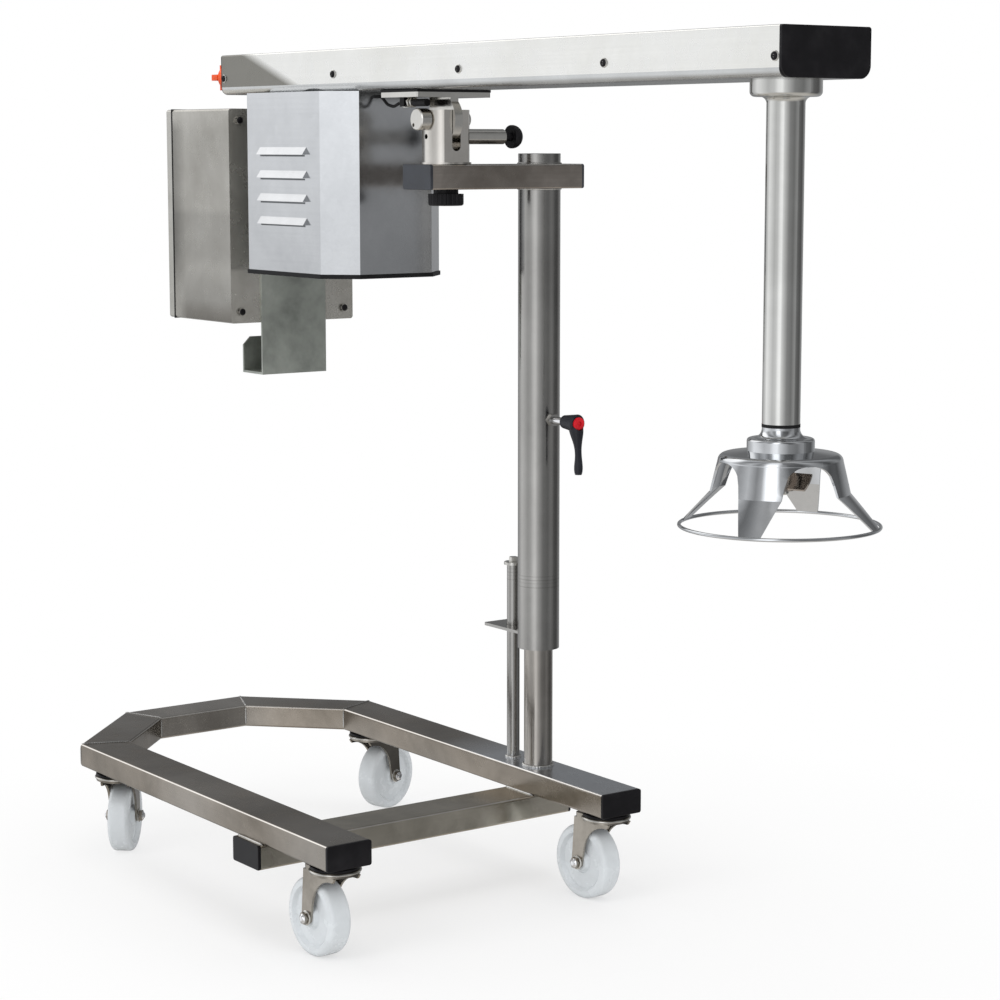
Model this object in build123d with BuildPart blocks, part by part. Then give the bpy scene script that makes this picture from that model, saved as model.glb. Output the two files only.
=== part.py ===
from build123d import *
from math import cos, radians, sin, sqrt, tan
import os

os.makedirs("parts", exist_ok=True)

# Mobile tank agitator: a castored trolley carries a telescopic mast, the mast carries a
# top arm, and a clevis on the arm carries a balanced beam with the motor and control box
# on one side and the agitator tube with its guard on the other.
# Frame: +X along the beam towards the agitator tube, +Z up, floor at z = 0, origin under
# the middle of the whole machine.

# ---------------------------------------------------------------- clearances
run_gap = 0.3          # between curved or sliding faces of different bodies
fit_gap = 0.05         # radial, a shaft in its bore
plug_gap = 0.2         # a plastic plug in its tube
seat_gap = 0.02        # between separate solids of one sub-part

# ---------------------------------------------------------------- rectangular tube
tube_w = 80.0
tube_h = 40.0
tube_wall = 3.0
tube_r = 4.0
cap_t = 5.0
cap_plug = 14.0

# ---------------------------------------------------------------- castors
wheel_d = 125.0
wheel_w = 38.0
wheel_edge_r = 8.0
castor_h = 155.0
castor_trail = 44.0
race_d = 78.0
race_h = 7.0
crown_t = 7.5
leg_t = 4.0
hub_play = 0.4
axle_r = 5.0
king_r = 6.0
near_open_heading = 182.0
far_open_heading = 184.0
near_front_heading = 140.0
far_front_heading = 108.0

# ---------------------------------------------------------------- trolley
trolley_w = 605.0
trolley_len = 1000.0
corner_cut = 180.0
castor_inset = 42.0
castor_pitch = 714.0
cross_overhang = 9.0
mast_setback = 230.0   # from the open end of the rails to the mast

# ---------------------------------------------------------------- mast
inner_mast_r = 24.15
outer_mast_r = 35.0
mast_wall = 3.0
inner_mast_len = 790.0
outer_mast_foot = 399.0
outer_mast_len = 825.0
mast_cap_t = 2.0
bush_len = 60.0
rod_r = 11.0
rod_wall = 2.5
rod_len = 336.0
rod_offset = 72.0
rod_washer_r = 16.0
rod_washer_t = 5.0
guide_plate_t = 5.0
guide_plate_z = 422.0
guide_plate_w = 60.0
guide_plate_tail = 45.0
clamp_z = 788.0
boss_af = 19.0
boss_len = 8.0
screw_r = 5.0
stub_r = 6.5
stub_len = 29.0
lever_hub_len = 36.0
lever_drop = 84.0
button_r = 10.5

# ---------------------------------------------------------------- top arm and clevis
mast_above_arm = 15.0
arm_overhang = 63.0
arm_nose = 57.0
yoke_reach = 187.0     # mast axis to clevis axis
spigot_r = 15.0
sleeve_wall = 5.0
yoke_r = 38.0
yoke_flat = 30.0
yoke_base_r = 41.0
yoke_base_t = 3.0
yoke_h = 83.0
slot_w = 16.4
lug_t = 15.0
pin_r = 7.0
pin_above_arm = 71.0
beam_above_pin = 47.0
pin_head_r = 17.5
pin_head_t = 19.0
knob_r = 28.5
knob_t = 19.0
knob_collar_t = 7.0
plunger_drop = 27.0
plunger_pin_r = 4.0
barrel_r = 12.2
barrel_len = 81.0
mushroom_r = 19.0

# ---------------------------------------------------------------- beam
beam_w = 160.0
beam_h = 68.5
beam_wall = 2.5
beam_corner_r = 13.0
cover_t = 1.5
beam_tail = 582.0      # clevis axis to the rear end
nose_lead = 79.0       # agitator axis to the front end
nose_cap_t = 5.0
tail_cap_t = 3.0
mount_plate_x = 107.0
mount_plate_y = 142.0
mount_plate_t = 8.0
mount_plate_lead = 25.0
gasket_t = 4.0

# ---------------------------------------------------------------- agitator tube and guard
shaft_reach = 807.0    # clevis axis to agitator axis
agitator_tube_r = 26.2
agitator_tube_wall = 3.0
cup_r = 49.0
cup_h = 23.0
cup_neck_h = 12.0
tube_len = 429.5
seal_t = 4.5
agitator_r = 12.5
guard_r = 138.0
guard_rod_r = 2.5
guard_sheet = 3.0
hub_h = 36.0
hub_r = 46.5
shoulder_r = 86.0
crease_r = 96.5
bell_rise = 4.0
bell_h = 100.0
crease_h = 46.0

# ---------------------------------------------------------------- motor, cover and box
motor_back = 286.0     # clevis axis to motor axis
motor_r = 72.0
motor_len = 225.0
motor_flange_r = 80.0
motor_flange_t = 12.0
cover_x0 = 427.0       # clevis axis to the cover's rear face
cover_x1 = 146.0       # clevis axis to the cover's front face
cover_w = 236.0
cover_chamfer = 47.0
cover_h = 303.0
cover_sheet = 2.0
trim_h = 7.0
louvre_w = 150.0
louvre_h = 12.0
louvre_pitch = 38.8
louvre_out = 8.0
louvre_top = 91.0
louvre_count = 4
box_back = 479.0       # clevis axis to the control box's back wall
box_w = 250.0
box_d = 203.5
box_h = 371.0
box_wall = 2.0
box_drop = 25.0
door_t = 20.0
door_gap = 1.5
hook_w = 131.0
hook_t = 4.0
hook_drop = 488.0
hook_depth = 65.0
hook_lip = 63.0
belt_t = 5.0
belt_w = 18.0
motor_pulley_r = 40.0
driven_pulley_r = 50.0

# ---------------------------------------------------------------- derived places
total_reach = shaft_reach + guard_r + guard_rod_r
mast_x = (trolley_len - mast_setback - total_reach) / 2
open_x = mast_x + mast_setback
front_x = open_x - trolley_len
mitre_x = front_x + corner_cut
rail_top = castor_h + tube_h
arm_far = trolley_w / 2 - tube_w / 2 + arm_overhang
far_heading = radians(far_front_heading)
wheel_far = trolley_w / 2 - tube_w / 2 + castor_trail * sin(far_heading) + wheel_edge_r
wheel_far += (wheel_d / 2 - wheel_edge_r) * abs(sin(far_heading))
wheel_far += (wheel_w / 2 - wheel_edge_r) * abs(cos(far_heading))
trolley_y = (trolley_w / 2 + cross_overhang - max(arm_far, wheel_far)) / 2
mast_y = trolley_y + trolley_w / 2 - tube_w / 2
rod_x = mast_x - rod_offset
yoke_x = mast_x
yoke_y = mast_y - yoke_reach
arm_top = outer_mast_foot + outer_mast_len - mast_above_arm
arm_z = arm_top - tube_h
pin_z = arm_top + pin_above_arm
plunger_z = pin_z - plunger_drop
lug_r = yoke_r
beam_z = pin_z + beam_above_pin
beam_top = beam_z + beam_h
shaft_x = yoke_x + shaft_reach
motor_x = yoke_x - motor_back
seam_z = beam_z + beam_corner_r
belt_z = beam_z + 33.0
tube_top = beam_z - cup_h - cup_neck_h
tube_foot = tube_top - tube_len
hub_top = tube_foot - seal_t
hub_foot = hub_top - hub_h
ring_z = hub_foot - bell_h
castor_in = trolley_w / 2 - tube_w / 2
castor_spots = {
    "near_open": (open_x - castor_inset, trolley_y - castor_in, near_open_heading),
    "far_open": (open_x - castor_inset, trolley_y + castor_in, far_open_heading),
    "near_front": (open_x - castor_inset - castor_pitch, trolley_y - castor_in, near_front_heading),
    "far_front": (open_x - castor_inset - castor_pitch, trolley_y + castor_in, far_front_heading),
}


def save(piece, name):
    """Label a finished sub-part and write its STEP file."""
    piece.part.label = name
    export_step(piece.part, f"parts/{name}.step")


def facing_near(x, y, z):
    """Upright plane looking towards -Y: its x is +X and its y is +Z."""
    return Plane(origin=(x, y, z), x_dir=(1, 0, 0), z_dir=(0, -1, 0))


def facing_ahead(x, y, z):
    """Upright plane looking towards +X: its x is +Y and its y is +Z."""
    return Plane(origin=(x, y, z), x_dir=(0, 1, 0), z_dir=(1, 0, 0))


def flat_tube(outer, inner, base):
    """Rectangular tube laid flat, given the plan ends of its outer and inner long edges."""
    along = Axis((0, 0, 0), (outer[1][0] - outer[0][0], outer[1][1] - outer[0][1], 0))

    def inset(edge, other):
        share = tube_wall / tube_w
        return edge[0] + (other[0] - edge[0]) * share, edge[1] + (other[1] - edge[1]) * share

    with BuildPart() as tube:
        with BuildSketch(Plane.XY.offset(base)):
            Polygon(outer[0], outer[1], inner[1], inner[0], align=None)
        extrude(amount=tube_h)
        fillet(tube.edges().filter_by(along), tube_r)
        with BuildSketch(Plane.XY.offset(base + tube_wall)):
            Polygon(
                inset(outer[0], inner[0]),
                inset(outer[1], inner[1]),
                inset(inner[1], outer[1]),
                inset(inner[0], outer[0]),
                align=None,
            )
        extrude(amount=tube_h - 2 * tube_wall, mode=Mode.SUBTRACT)
    return tube


def end_cap(face):
    """Moulded cap over the end of a rectangular tube; face is the tube's end plane."""
    with BuildPart() as cap:
        with BuildSketch(face):
            RectangleRounded(tube_w, tube_h, tube_r)
        extrude(amount=cap_t)
        fillet(cap.faces().sort_by(Axis(face.origin, face.z_dir))[-1].edges(), 1.5)
        with BuildSketch(face):
            Rectangle(tube_w - 2 * tube_wall - 2 * plug_gap, tube_h - 2 * tube_wall - 2 * plug_gap)
        extrude(amount=-cap_plug)
    return cap


def group(pieces, name):
    """Write several separate solids as one sub-part."""
    with BuildPart() as together:
        for piece in pieces:
            add(piece.part)
    save(together, name)


# ================================================================ trolley
mitre_in = tube_w * tan(radians(22.5))
half_w = trolley_w / 2
front_half = half_w - corner_cut


def rail(side):
    """One long rail; side is -1 for the near rail and +1 for the far one."""
    y_out = trolley_y + side * half_w
    y_in = trolley_y + side * (half_w - tube_w)
    tube = flat_tube(
        [(open_x - cap_t, y_out), (mitre_x, y_out)],
        [(open_x - cap_t, y_in), (mitre_x + mitre_in, y_in)],
        castor_h,
    )
    with BuildPart() as drilled:
        add(tube.part)
        for spot_x, spot_y, _ in castor_spots.values():
            if (spot_y - trolley_y) * side > 0:
                with BuildSketch(Plane((spot_x, spot_y, castor_h))):
                    Circle(king_r + run_gap)
                extrude(amount=tube_wall, mode=Mode.SUBTRACT)
    return drilled


def diagonal(side):
    """One 45 degree corner tube between a rail and the front tube."""
    return flat_tube(
        [(mitre_x, trolley_y + side * half_w), (front_x, trolley_y + side * front_half)],
        [
            (mitre_x + mitre_in, trolley_y + side * (half_w - tube_w)),
            (front_x + tube_w, trolley_y + side * (front_half - mitre_in)),
        ],
        castor_h,
    )


group([rail(-1), rail(1)], "side_rails")
group([diagonal(-1), diagonal(1)], "diagonal_tubes")

front_tube = flat_tube(
    [(front_x, trolley_y - front_half), (front_x, trolley_y + front_half)],
    [
        (front_x + tube_w, trolley_y - front_half + mitre_in),
        (front_x + tube_w, trolley_y + front_half - mitre_in),
    ],
    castor_h,
)
save(front_tube, "front_tube")

cross_near = trolley_y - half_w - cross_overhang
cross_far = trolley_y + half_w
cross_tube = flat_tube(
    [(mast_x - tube_w / 2, cross_near + cap_t), (mast_x - tube_w / 2, cross_far - cap_t)],
    [(mast_x + tube_w / 2, cross_near + cap_t), (mast_x + tube_w / 2, cross_far - cap_t)],
    castor_h - tube_h,
)
save(cross_tube, "cross_tube")

rail_mid = castor_h + tube_h / 2
cross_mid = castor_h - tube_h / 2
near_face = Plane(origin=(mast_x, cross_near + cap_t, cross_mid), x_dir=(1, 0, 0), z_dir=(0, -1, 0))
far_face = Plane(origin=(mast_x, cross_far - cap_t, cross_mid), x_dir=(-1, 0, 0), z_dir=(0, 1, 0))
group(
    [
        end_cap(facing_ahead(open_x - cap_t, trolley_y - half_w + tube_w / 2, rail_mid)),
        end_cap(facing_ahead(open_x - cap_t, trolley_y + half_w - tube_w / 2, rail_mid)),
        end_cap(near_face),
        end_cap(far_face),
    ],
    "trolley_end_caps",
)

with BuildPart() as inner_mast:
    with BuildSketch(Plane((mast_x, mast_y, rail_top))):
        Circle(inner_mast_r)
        Circle(inner_mast_r - mast_wall, mode=Mode.SUBTRACT)
    extrude(amount=inner_mast_len)
save(inner_mast, "inner_mast")

with BuildPart() as guide_rod:
    with BuildSketch(Plane((rod_x, mast_y, rail_top))):
        Circle(rod_r)
        Circle(rod_r - rod_wall, mode=Mode.SUBTRACT)
    extrude(amount=rod_len)
save(guide_rod, "guide_rod")

rod_top = rail_top + rod_len
with BuildPart() as guide_rod_bolt:
    with BuildSketch(Plane((rod_x, mast_y, rod_top))):
        Circle(rod_washer_r)
    extrude(amount=rod_washer_t)
    fillet(guide_rod_bolt.edges().group_by(Axis.Z)[-1], 1.2)
    with BuildSketch(Plane((rod_x, mast_y, rod_top + rod_washer_t))):
        RegularPolygon(6.5, 6, major_radius=False)
    extrude(amount=8)
    with BuildSketch(Plane((rod_x, mast_y, rod_top))):
        Circle(rod_r - rod_wall)
    extrude(amount=-20)
save(guide_rod_bolt, "guide_rod_bolt")

# ================================================================ castors
king_head_z = castor_h - race_h - run_gap - crown_t - run_gap
axle_z = wheel_d / 2
hub_half = wheel_w / 2 + 1.5
leg_in = hub_half + hub_play
leg_out = leg_in + leg_t


def swivel_race(x, y):
    """Fixed ball race with its king pin, studded up through the rail's lower wall."""
    with BuildPart() as race:
        with BuildSketch(Plane((x, y, castor_h))):
            Circle(race_d / 2 - 8)
        extrude(amount=-2)
        with BuildSketch(Plane((x, y, castor_h - 2))):
            Circle(race_d / 2)
        extrude(amount=-(race_h - 2))
        fillet(race.edges().filter_by(GeomType.CIRCLE).sort_by(SortBy.RADIUS)[-2:], 2.0)
        with BuildSketch(Plane((x, y, castor_h + tube_wall + 8))):
            Circle(king_r)
        extrude(amount=-(castor_h + tube_wall + 8 - king_head_z + 5))
        with BuildSketch(Plane((x, y, king_head_z))):
            Circle(11)
        extrude(amount=-5)
        with BuildSketch(Plane((x, y, castor_h + tube_wall))):
            RegularPolygon(10, 6, major_radius=False)
        extrude(amount=8)
    return race


group([swivel_race(x, y) for x, y, _ in castor_spots.values()], "castor_races")


def castor_fork(name, x, y, heading):
    """Pressed fork with its axle bolt and nut; local +x points to the trailing wheel."""
    ahead = (cos(radians(heading)), sin(radians(heading)), 0)
    across = (-sin(radians(heading)), cos(radians(heading)), 0)
    crown_top = castor_h - race_h - run_gap
    crown = Plane(origin=(x, y, crown_top), x_dir=ahead, z_dir=(0, 0, 1))
    leg_back = castor_trail + 7

    def side(offset):
        """Upright plane parallel to the wheel, offset along the axle."""
        place = (x + across[0] * offset, y + across[1] * offset, 0)
        back = (-across[0], -across[1], 0)
        return Plane(origin=place, x_dir=ahead, z_dir=back)

    with BuildPart() as fork:
        with BuildSketch(crown) as crown_plan:
            Circle(race_d / 2 - 0.5)
            with Locations((leg_back / 2, 0)):
                Rectangle(leg_back, 2 * leg_out)
            fillet(crown_plan.vertices().group_by(Axis.X)[-1], 8)
            Circle(king_r + fit_gap, mode=Mode.SUBTRACT)
        extrude(amount=-crown_t)
        for offset in (leg_out, -leg_in):
            with BuildSketch(side(offset)):
                with BuildLine():
                    foot = Line((leg_back, crown_top - crown_t), (castor_trail + 13, axle_z))
                    boss = RadiusArc(foot @ 1, (castor_trail - 10, axle_z - 4), 12.5)
                    waist = Line(boss @ 1, (castor_trail - 15, axle_z + 20))
                    ThreePointArc(waist @ 1, (castor_trail - 27, axle_z + 50), (-28, crown_top - crown_t - 7))
                    Line((-28, crown_top - crown_t - 7), (-33, crown_top - crown_t))
                    Line((-33, crown_top - crown_t), foot @ 0)
                make_face()
            extrude(amount=leg_t)
        with BuildSketch(side(leg_out)):
            with Locations((castor_trail, axle_z)):
                Circle(axle_r + seat_gap)
        extrude(amount=2 * leg_out, mode=Mode.SUBTRACT)
    with BuildPart() as axle:
        with BuildSketch(side(leg_out + seat_gap)):
            with Locations((castor_trail, axle_z)):
                Circle(axle_r)
        extrude(amount=2 * (leg_out + seat_gap))
        with BuildSketch(side(leg_out + seat_gap)):
            with Locations((castor_trail, axle_z)):
                RegularPolygon(8.5, 6, major_radius=False)
        extrude(amount=-7)
        with BuildSketch(side(-leg_out - seat_gap)):
            with Locations((castor_trail, axle_z)):
                RegularPolygon(8.5, 6, major_radius=False)
        extrude(amount=7)
    group([fork, axle], name)


def castor_wheel(name, x, y, heading):
    """Solid nylon wheel with a recessed web on each side, bored for the axle."""
    ahead = (cos(radians(heading)), sin(radians(heading)), 0)
    across = (-sin(radians(heading)), cos(radians(heading)), 0)
    centre = (x + ahead[0] * castor_trail, y + ahead[1] * castor_trail, axle_z)
    section = Plane(origin=centre, x_dir=across, z_dir=ahead)
    half = wheel_w / 2
    rim_r = wheel_d / 2 - 13
    with BuildPart() as wheel:
        with BuildSketch(section):
            with BuildLine():
                Polyline(
                    (-hub_half, axle_r + fit_gap),
                    (-hub_half, 15),
                    (-14, 20),
                    (-13, rim_r - 5),
                    (-half, rim_r),
                    (-half, wheel_d / 2 - wheel_edge_r),
                )
                RadiusArc((-half, wheel_d / 2 - wheel_edge_r), (-half + wheel_edge_r, wheel_d / 2), wheel_edge_r)
                Line((-half + wheel_edge_r, wheel_d / 2), (half - wheel_edge_r, wheel_d / 2))
                RadiusArc((half - wheel_edge_r, wheel_d / 2), (half, wheel_d / 2 - wheel_edge_r), wheel_edge_r)
                Polyline(
                    (half, wheel_d / 2 - wheel_edge_r),
                    (half, rim_r),
                    (13, rim_r - 5),
                    (14, 20),
                    (hub_half, 15),
                    (hub_half, axle_r + fit_gap),
                    (-hub_half, axle_r + fit_gap),
                )
            make_face()
        revolve(axis=Axis(centre, across))
    save(wheel, name)


for spot, (spot_x, spot_y, heading) in castor_spots.items():
    castor_fork(f"castor_fork_{spot}", spot_x, spot_y, heading)
    castor_wheel(f"castor_wheel_{spot}", spot_x, spot_y, heading)

# ================================================================ mast
outer_bore = outer_mast_r - mast_wall
outer_mast_top = outer_mast_foot + outer_mast_len
boss_out = outer_mast_r + boss_len
with BuildPart() as outer_mast:
    with BuildSketch(Plane((mast_x, mast_y, outer_mast_foot))):
        Circle(outer_mast_r)
    extrude(amount=outer_mast_len)
    with BuildSketch(facing_ahead(mast_x, mast_y, clamp_z)):
        RegularPolygon(boss_af / 2, 6, major_radius=False)
    extrude(amount=boss_out)
    with BuildSketch(Plane((mast_x, mast_y, outer_mast_foot))):
        Circle(outer_bore)
    extrude(amount=outer_mast_len, mode=Mode.SUBTRACT)
    with BuildSketch(facing_ahead(mast_x, mast_y, clamp_z)):
        Circle(screw_r + fit_gap)
    extrude(amount=boss_out, mode=Mode.SUBTRACT)
save(outer_mast, "outer_mast")

bush_bottoms = (outer_mast_foot, clamp_z + 30)


def mast_bush(base):
    """Plastic guide sleeve between the two mast tubes."""
    with BuildPart() as bush:
        with BuildSketch(Plane((mast_x, mast_y, base))):
            Circle(outer_bore)
            Circle(inner_mast_r + fit_gap, mode=Mode.SUBTRACT)
        extrude(amount=bush_len)
    return bush


group([mast_bush(base) for base in bush_bottoms], "mast_bushes")

with BuildPart() as mast_cap:
    with BuildSketch(Plane((mast_x, mast_y, outer_mast_top))):
        Circle(outer_mast_r)
    extrude(amount=mast_cap_t)
    fillet(mast_cap.edges().group_by(Axis.Z)[-1], 1.0)
    with BuildSketch(Plane((mast_x, mast_y, outer_mast_top))):
        Circle(outer_bore - plug_gap)
    extrude(amount=-15)
save(mast_cap, "mast_cap")

plate_left = rod_x - guide_plate_tail
with BuildPart() as guide_plate:
    with BuildSketch(Plane((0, 0, guide_plate_z))):
        with Locations(((plate_left + mast_x) / 2, mast_y)):
            RectangleRounded(mast_x - plate_left, guide_plate_w, 4)
        with Locations((mast_x, mast_y)):
            Circle(outer_mast_r, mode=Mode.SUBTRACT)
        with Locations((rod_x, mast_y)):
            Circle(rod_r + 0.8, mode=Mode.SUBTRACT)
    extrude(amount=guide_plate_t)
save(guide_plate, "guide_plate")

# ---------------------------------------------------------------- clamp lever
screw_tip = inner_mast_r + run_gap
hub_near = boss_out + stub_len
hub_far = hub_near + lever_hub_len
with BuildPart() as clamp_screw:
    with BuildSketch(facing_ahead(mast_x + screw_tip, mast_y, clamp_z)):
        Circle(screw_r)
    extrude(amount=hub_near - screw_tip)
    with BuildSketch(facing_ahead(mast_x + boss_out + run_gap, mast_y, clamp_z)):
        Circle(stub_r)
    extrude(amount=hub_near - boss_out - run_gap)
save(clamp_screw, "clamp_screw")

lever_x = mast_x + hub_far - 7
with BuildPart() as clamp_lever:
    with BuildSketch(facing_near(mast_x, mast_y, clamp_z)):
        with BuildLine():
            Polyline((hub_near, 0), (hub_near, 11), (hub_far - 3, 15), (hub_far, 13), (hub_far, 0))
            Line((hub_far, 0), (hub_near, 0))
        make_face()
    revolve(axis=Axis((mast_x, mast_y, clamp_z), (1, 0, 0)))
    handle = (
        (0.0, 0.0, 11.0, 10.5),
        (0.35, 5.0, 8.0, 8.0),
        (0.72, 8.0, 5.8, 6.5),
        (0.92, 8.0, 7.0, 7.0),
        (1.0, 8.0, 5.5, 5.5),
    )
    for share, lean, half_x, half_y in handle:
        with BuildSketch(Plane((lever_x + lean, mast_y, clamp_z - share * lever_drop))):
            Ellipse(half_x, half_y)
    loft()
    with BuildSketch(facing_ahead(mast_x + hub_far, mast_y, clamp_z)):
        Circle(button_r + run_gap)
    extrude(amount=-8, mode=Mode.SUBTRACT)
    with BuildSketch(facing_ahead(mast_x + hub_far, mast_y, clamp_z)):
        Circle(button_r + run_gap)
    extrude(amount=12, mode=Mode.SUBTRACT)
save(clamp_lever, "clamp_lever")

with BuildPart() as clamp_button:
    with BuildSketch(facing_ahead(mast_x + hub_far - 4.5, mast_y, clamp_z)):
        Circle(button_r)
    extrude(amount=8)
    fillet(clamp_button.faces().sort_by(Axis.X)[-1].edges(), 1.5)
    with BuildSketch(facing_ahead(mast_x + hub_far + 3.5, mast_y, clamp_z)):
        RegularPolygon(4, 6, major_radius=False)
    extrude(amount=-2, mode=Mode.SUBTRACT)
save(clamp_button, "clamp_button")

# ================================================================ top arm
arm_near = yoke_y - arm_nose
arm_far_y = mast_y + arm_overhang
arm_tube = flat_tube(
    [(mast_x - tube_w / 2, arm_near + cap_t), (mast_x - tube_w / 2, arm_far_y - cap_t)],
    [(mast_x + tube_w / 2, arm_near + cap_t), (mast_x + tube_w / 2, arm_far_y - cap_t)],
    arm_z,
)
with BuildPart() as top_arm:
    add(arm_tube.part)
    with BuildSketch(Plane((mast_x, mast_y, arm_z))):
        Circle(outer_mast_r)
    extrude(amount=tube_h, mode=Mode.SUBTRACT)
    with BuildSketch(Plane((yoke_x, yoke_y, arm_z))):
        Circle(spigot_r + fit_gap + sleeve_wall)
    extrude(amount=tube_h)
    with BuildSketch(Plane((yoke_x, yoke_y, arm_z))):
        Circle(spigot_r + fit_gap)
    extrude(amount=tube_h, mode=Mode.SUBTRACT)
save(top_arm, "top_arm")

arm_mid = arm_z + tube_h / 2
arm_near_face = Plane(origin=(mast_x, arm_near + cap_t, arm_mid), x_dir=(1, 0, 0), z_dir=(0, -1, 0))
arm_far_face = Plane(origin=(mast_x, arm_far_y - cap_t, arm_mid), x_dir=(-1, 0, 0), z_dir=(0, 1, 0))
group([end_cap(arm_near_face), end_cap(arm_far_face)], "arm_end_caps")

# ---------------------------------------------------------------- clevis
yoke_foot = arm_top + run_gap
slot_foot = pin_z - lug_r - 12
with BuildPart() as yoke:
    with BuildSketch(Plane((yoke_x, yoke_y, yoke_foot))):
        Circle(yoke_base_r)
    extrude(amount=yoke_base_t)
    with BuildSketch(Plane((yoke_x, yoke_y, yoke_foot + yoke_base_t))):
        Circle(yoke_r)
        with Locations((yoke_flat + yoke_r, 0)):
            Rectangle(2 * yoke_r, 2 * yoke_r, mode=Mode.SUBTRACT)
    extrude(amount=yoke_h)
    with BuildSketch(facing_ahead(yoke_x - yoke_r, yoke_y, slot_foot + slot_w / 2)):
        with Locations((0, yoke_h / 2)):
            Rectangle(slot_w, yoke_h)
        Circle(slot_w / 2)
    extrude(amount=2 * yoke_r, mode=Mode.SUBTRACT)
    with BuildSketch(facing_near(yoke_x, yoke_y + yoke_r, pin_z)):
        Circle(pin_r)
    extrude(amount=2 * yoke_r, mode=Mode.SUBTRACT)
    with BuildSketch(facing_near(yoke_x, yoke_y + yoke_r, plunger_z)):
        Circle(plunger_pin_r + fit_gap)
    extrude(amount=2 * yoke_r, mode=Mode.SUBTRACT)
    with BuildSketch(Plane((yoke_x, yoke_y, yoke_foot))):
        Circle(spigot_r)
    extrude(amount=-(tube_h + knob_collar_t))
save(yoke, "yoke")

pin_head_y = yoke_y - yoke_r
with BuildPart() as pivot_pin:
    with BuildSketch(facing_near(yoke_x, pin_head_y, pin_z)):
        Circle(pin_head_r)
    extrude(amount=pin_head_t)
    chamfer(pivot_pin.edges().sort_by(Axis.Y)[0], 1.5)
    with BuildSketch(facing_near(yoke_x, pin_head_y - pin_head_t, pin_z)):
        with Locations((-8, -9)):
            Circle(3)
    extrude(amount=-9, mode=Mode.SUBTRACT)
    with BuildSketch(facing_near(yoke_x, pin_head_y, pin_z)):
        Circle(pin_r)
    extrude(amount=-(2 * yoke_r + 6))
    with BuildSketch(facing_near(yoke_x, yoke_y + yoke_r, pin_z)):
        Circle(pin_r + 4)
    extrude(amount=-4)
save(pivot_pin, "pivot_pin")

barrel_y = yoke_y + yoke_r - 3
with BuildPart() as plunger_barrel:
    with BuildSketch(facing_near(yoke_x, barrel_y, plunger_z)):
        Circle(barrel_r)
    extrude(amount=-barrel_len)
    chamfer(plunger_barrel.edges().sort_by(Axis.Y)[-1], 4)
    with BuildSketch(Plane((yoke_x, yoke_y, yoke_foot + yoke_base_t))):
        Circle(yoke_r)
    extrude(amount=yoke_h, mode=Mode.SUBTRACT)
    with BuildSketch(facing_near(yoke_x, yoke_y, plunger_z)):
        Circle(plunger_pin_r + fit_gap)
    extrude(amount=-(yoke_r + barrel_len), mode=Mode.SUBTRACT)
save(plunger_barrel, "plunger_barrel")

barrel_end = barrel_y + barrel_len
plunger_neck = 10.0
mushroom_t = 20.0
pin_tip = yoke_y + lug_t / 2 - 5
mushroom_y = barrel_end + 1 + plunger_neck
with BuildPart() as plunger:
    with BuildSketch(facing_near(yoke_x, mushroom_y, plunger_z)):
        Circle(mushroom_r)
    extrude(amount=-mushroom_t)
    fillet(plunger.edges().group_by(Axis.Y)[-1], mushroom_t * 0.78)
    fillet(plunger.edges().group_by(Axis.Y)[0], 2)
    with BuildSketch(facing_near(yoke_x, barrel_end + 1, plunger_z)):
        Circle(7)
    extrude(amount=-plunger_neck - 2)
    with BuildSketch(facing_near(yoke_x, pin_tip, plunger_z)):
        Circle(plunger_pin_r)
    extrude(amount=-(mushroom_y + 2 - pin_tip))
save(plunger, "plunger")

knob_top = arm_z - knob_collar_t
with BuildPart() as lock_knob:
    with BuildSketch(Plane((yoke_x, yoke_y, arm_z - run_gap))):
        Circle(20)
    extrude(amount=-(knob_collar_t - run_gap))
    with BuildSketch(Plane((yoke_x, yoke_y, knob_top))):
        Circle(knob_r)
    extrude(amount=-knob_t)
    fillet(lock_knob.edges().group_by(Axis.Z)[0], 4)
    with BuildSketch(Plane((yoke_x, yoke_y, knob_top - knob_t))):
        with PolarLocations(knob_r + 1.5, 24):
            Circle(2.5)
    extrude(amount=knob_t, mode=Mode.SUBTRACT)
    with BuildSketch(Plane((yoke_x, yoke_y, arm_z))):
        Circle(spigot_r + fit_gap)
    extrude(amount=-knob_collar_t - run_gap, mode=Mode.SUBTRACT)
save(lock_knob, "lock_knob")

# ================================================================ beam
tail_x = yoke_x - beam_tail
nose_x = shaft_x + nose_lead
shell_tail = tail_x + tail_cap_t
shell_len = nose_x - tail_x - nose_cap_t - tail_cap_t
half_beam = beam_w / 2
channel_top = beam_h - 8


def channel_outline(inset):
    """U outline with round lower corners, stepped in above the seam by the cover's sheet."""
    half = half_beam - inset
    radius = beam_corner_r - inset
    upper = half_beam - cover_t - inset
    with BuildSketch(Plane.XY) as shape:
        with Locations((0, (beam_corner_r + inset) / 2)):
            Rectangle(2 * half, beam_corner_r - inset)
        fillet(shape.vertices().group_by(Axis.Y)[0], radius - 0.01)
        with Locations((0, (beam_corner_r + channel_top) / 2)):
            Rectangle(2 * upper, channel_top - beam_corner_r)
    return shape.sketch


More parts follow.
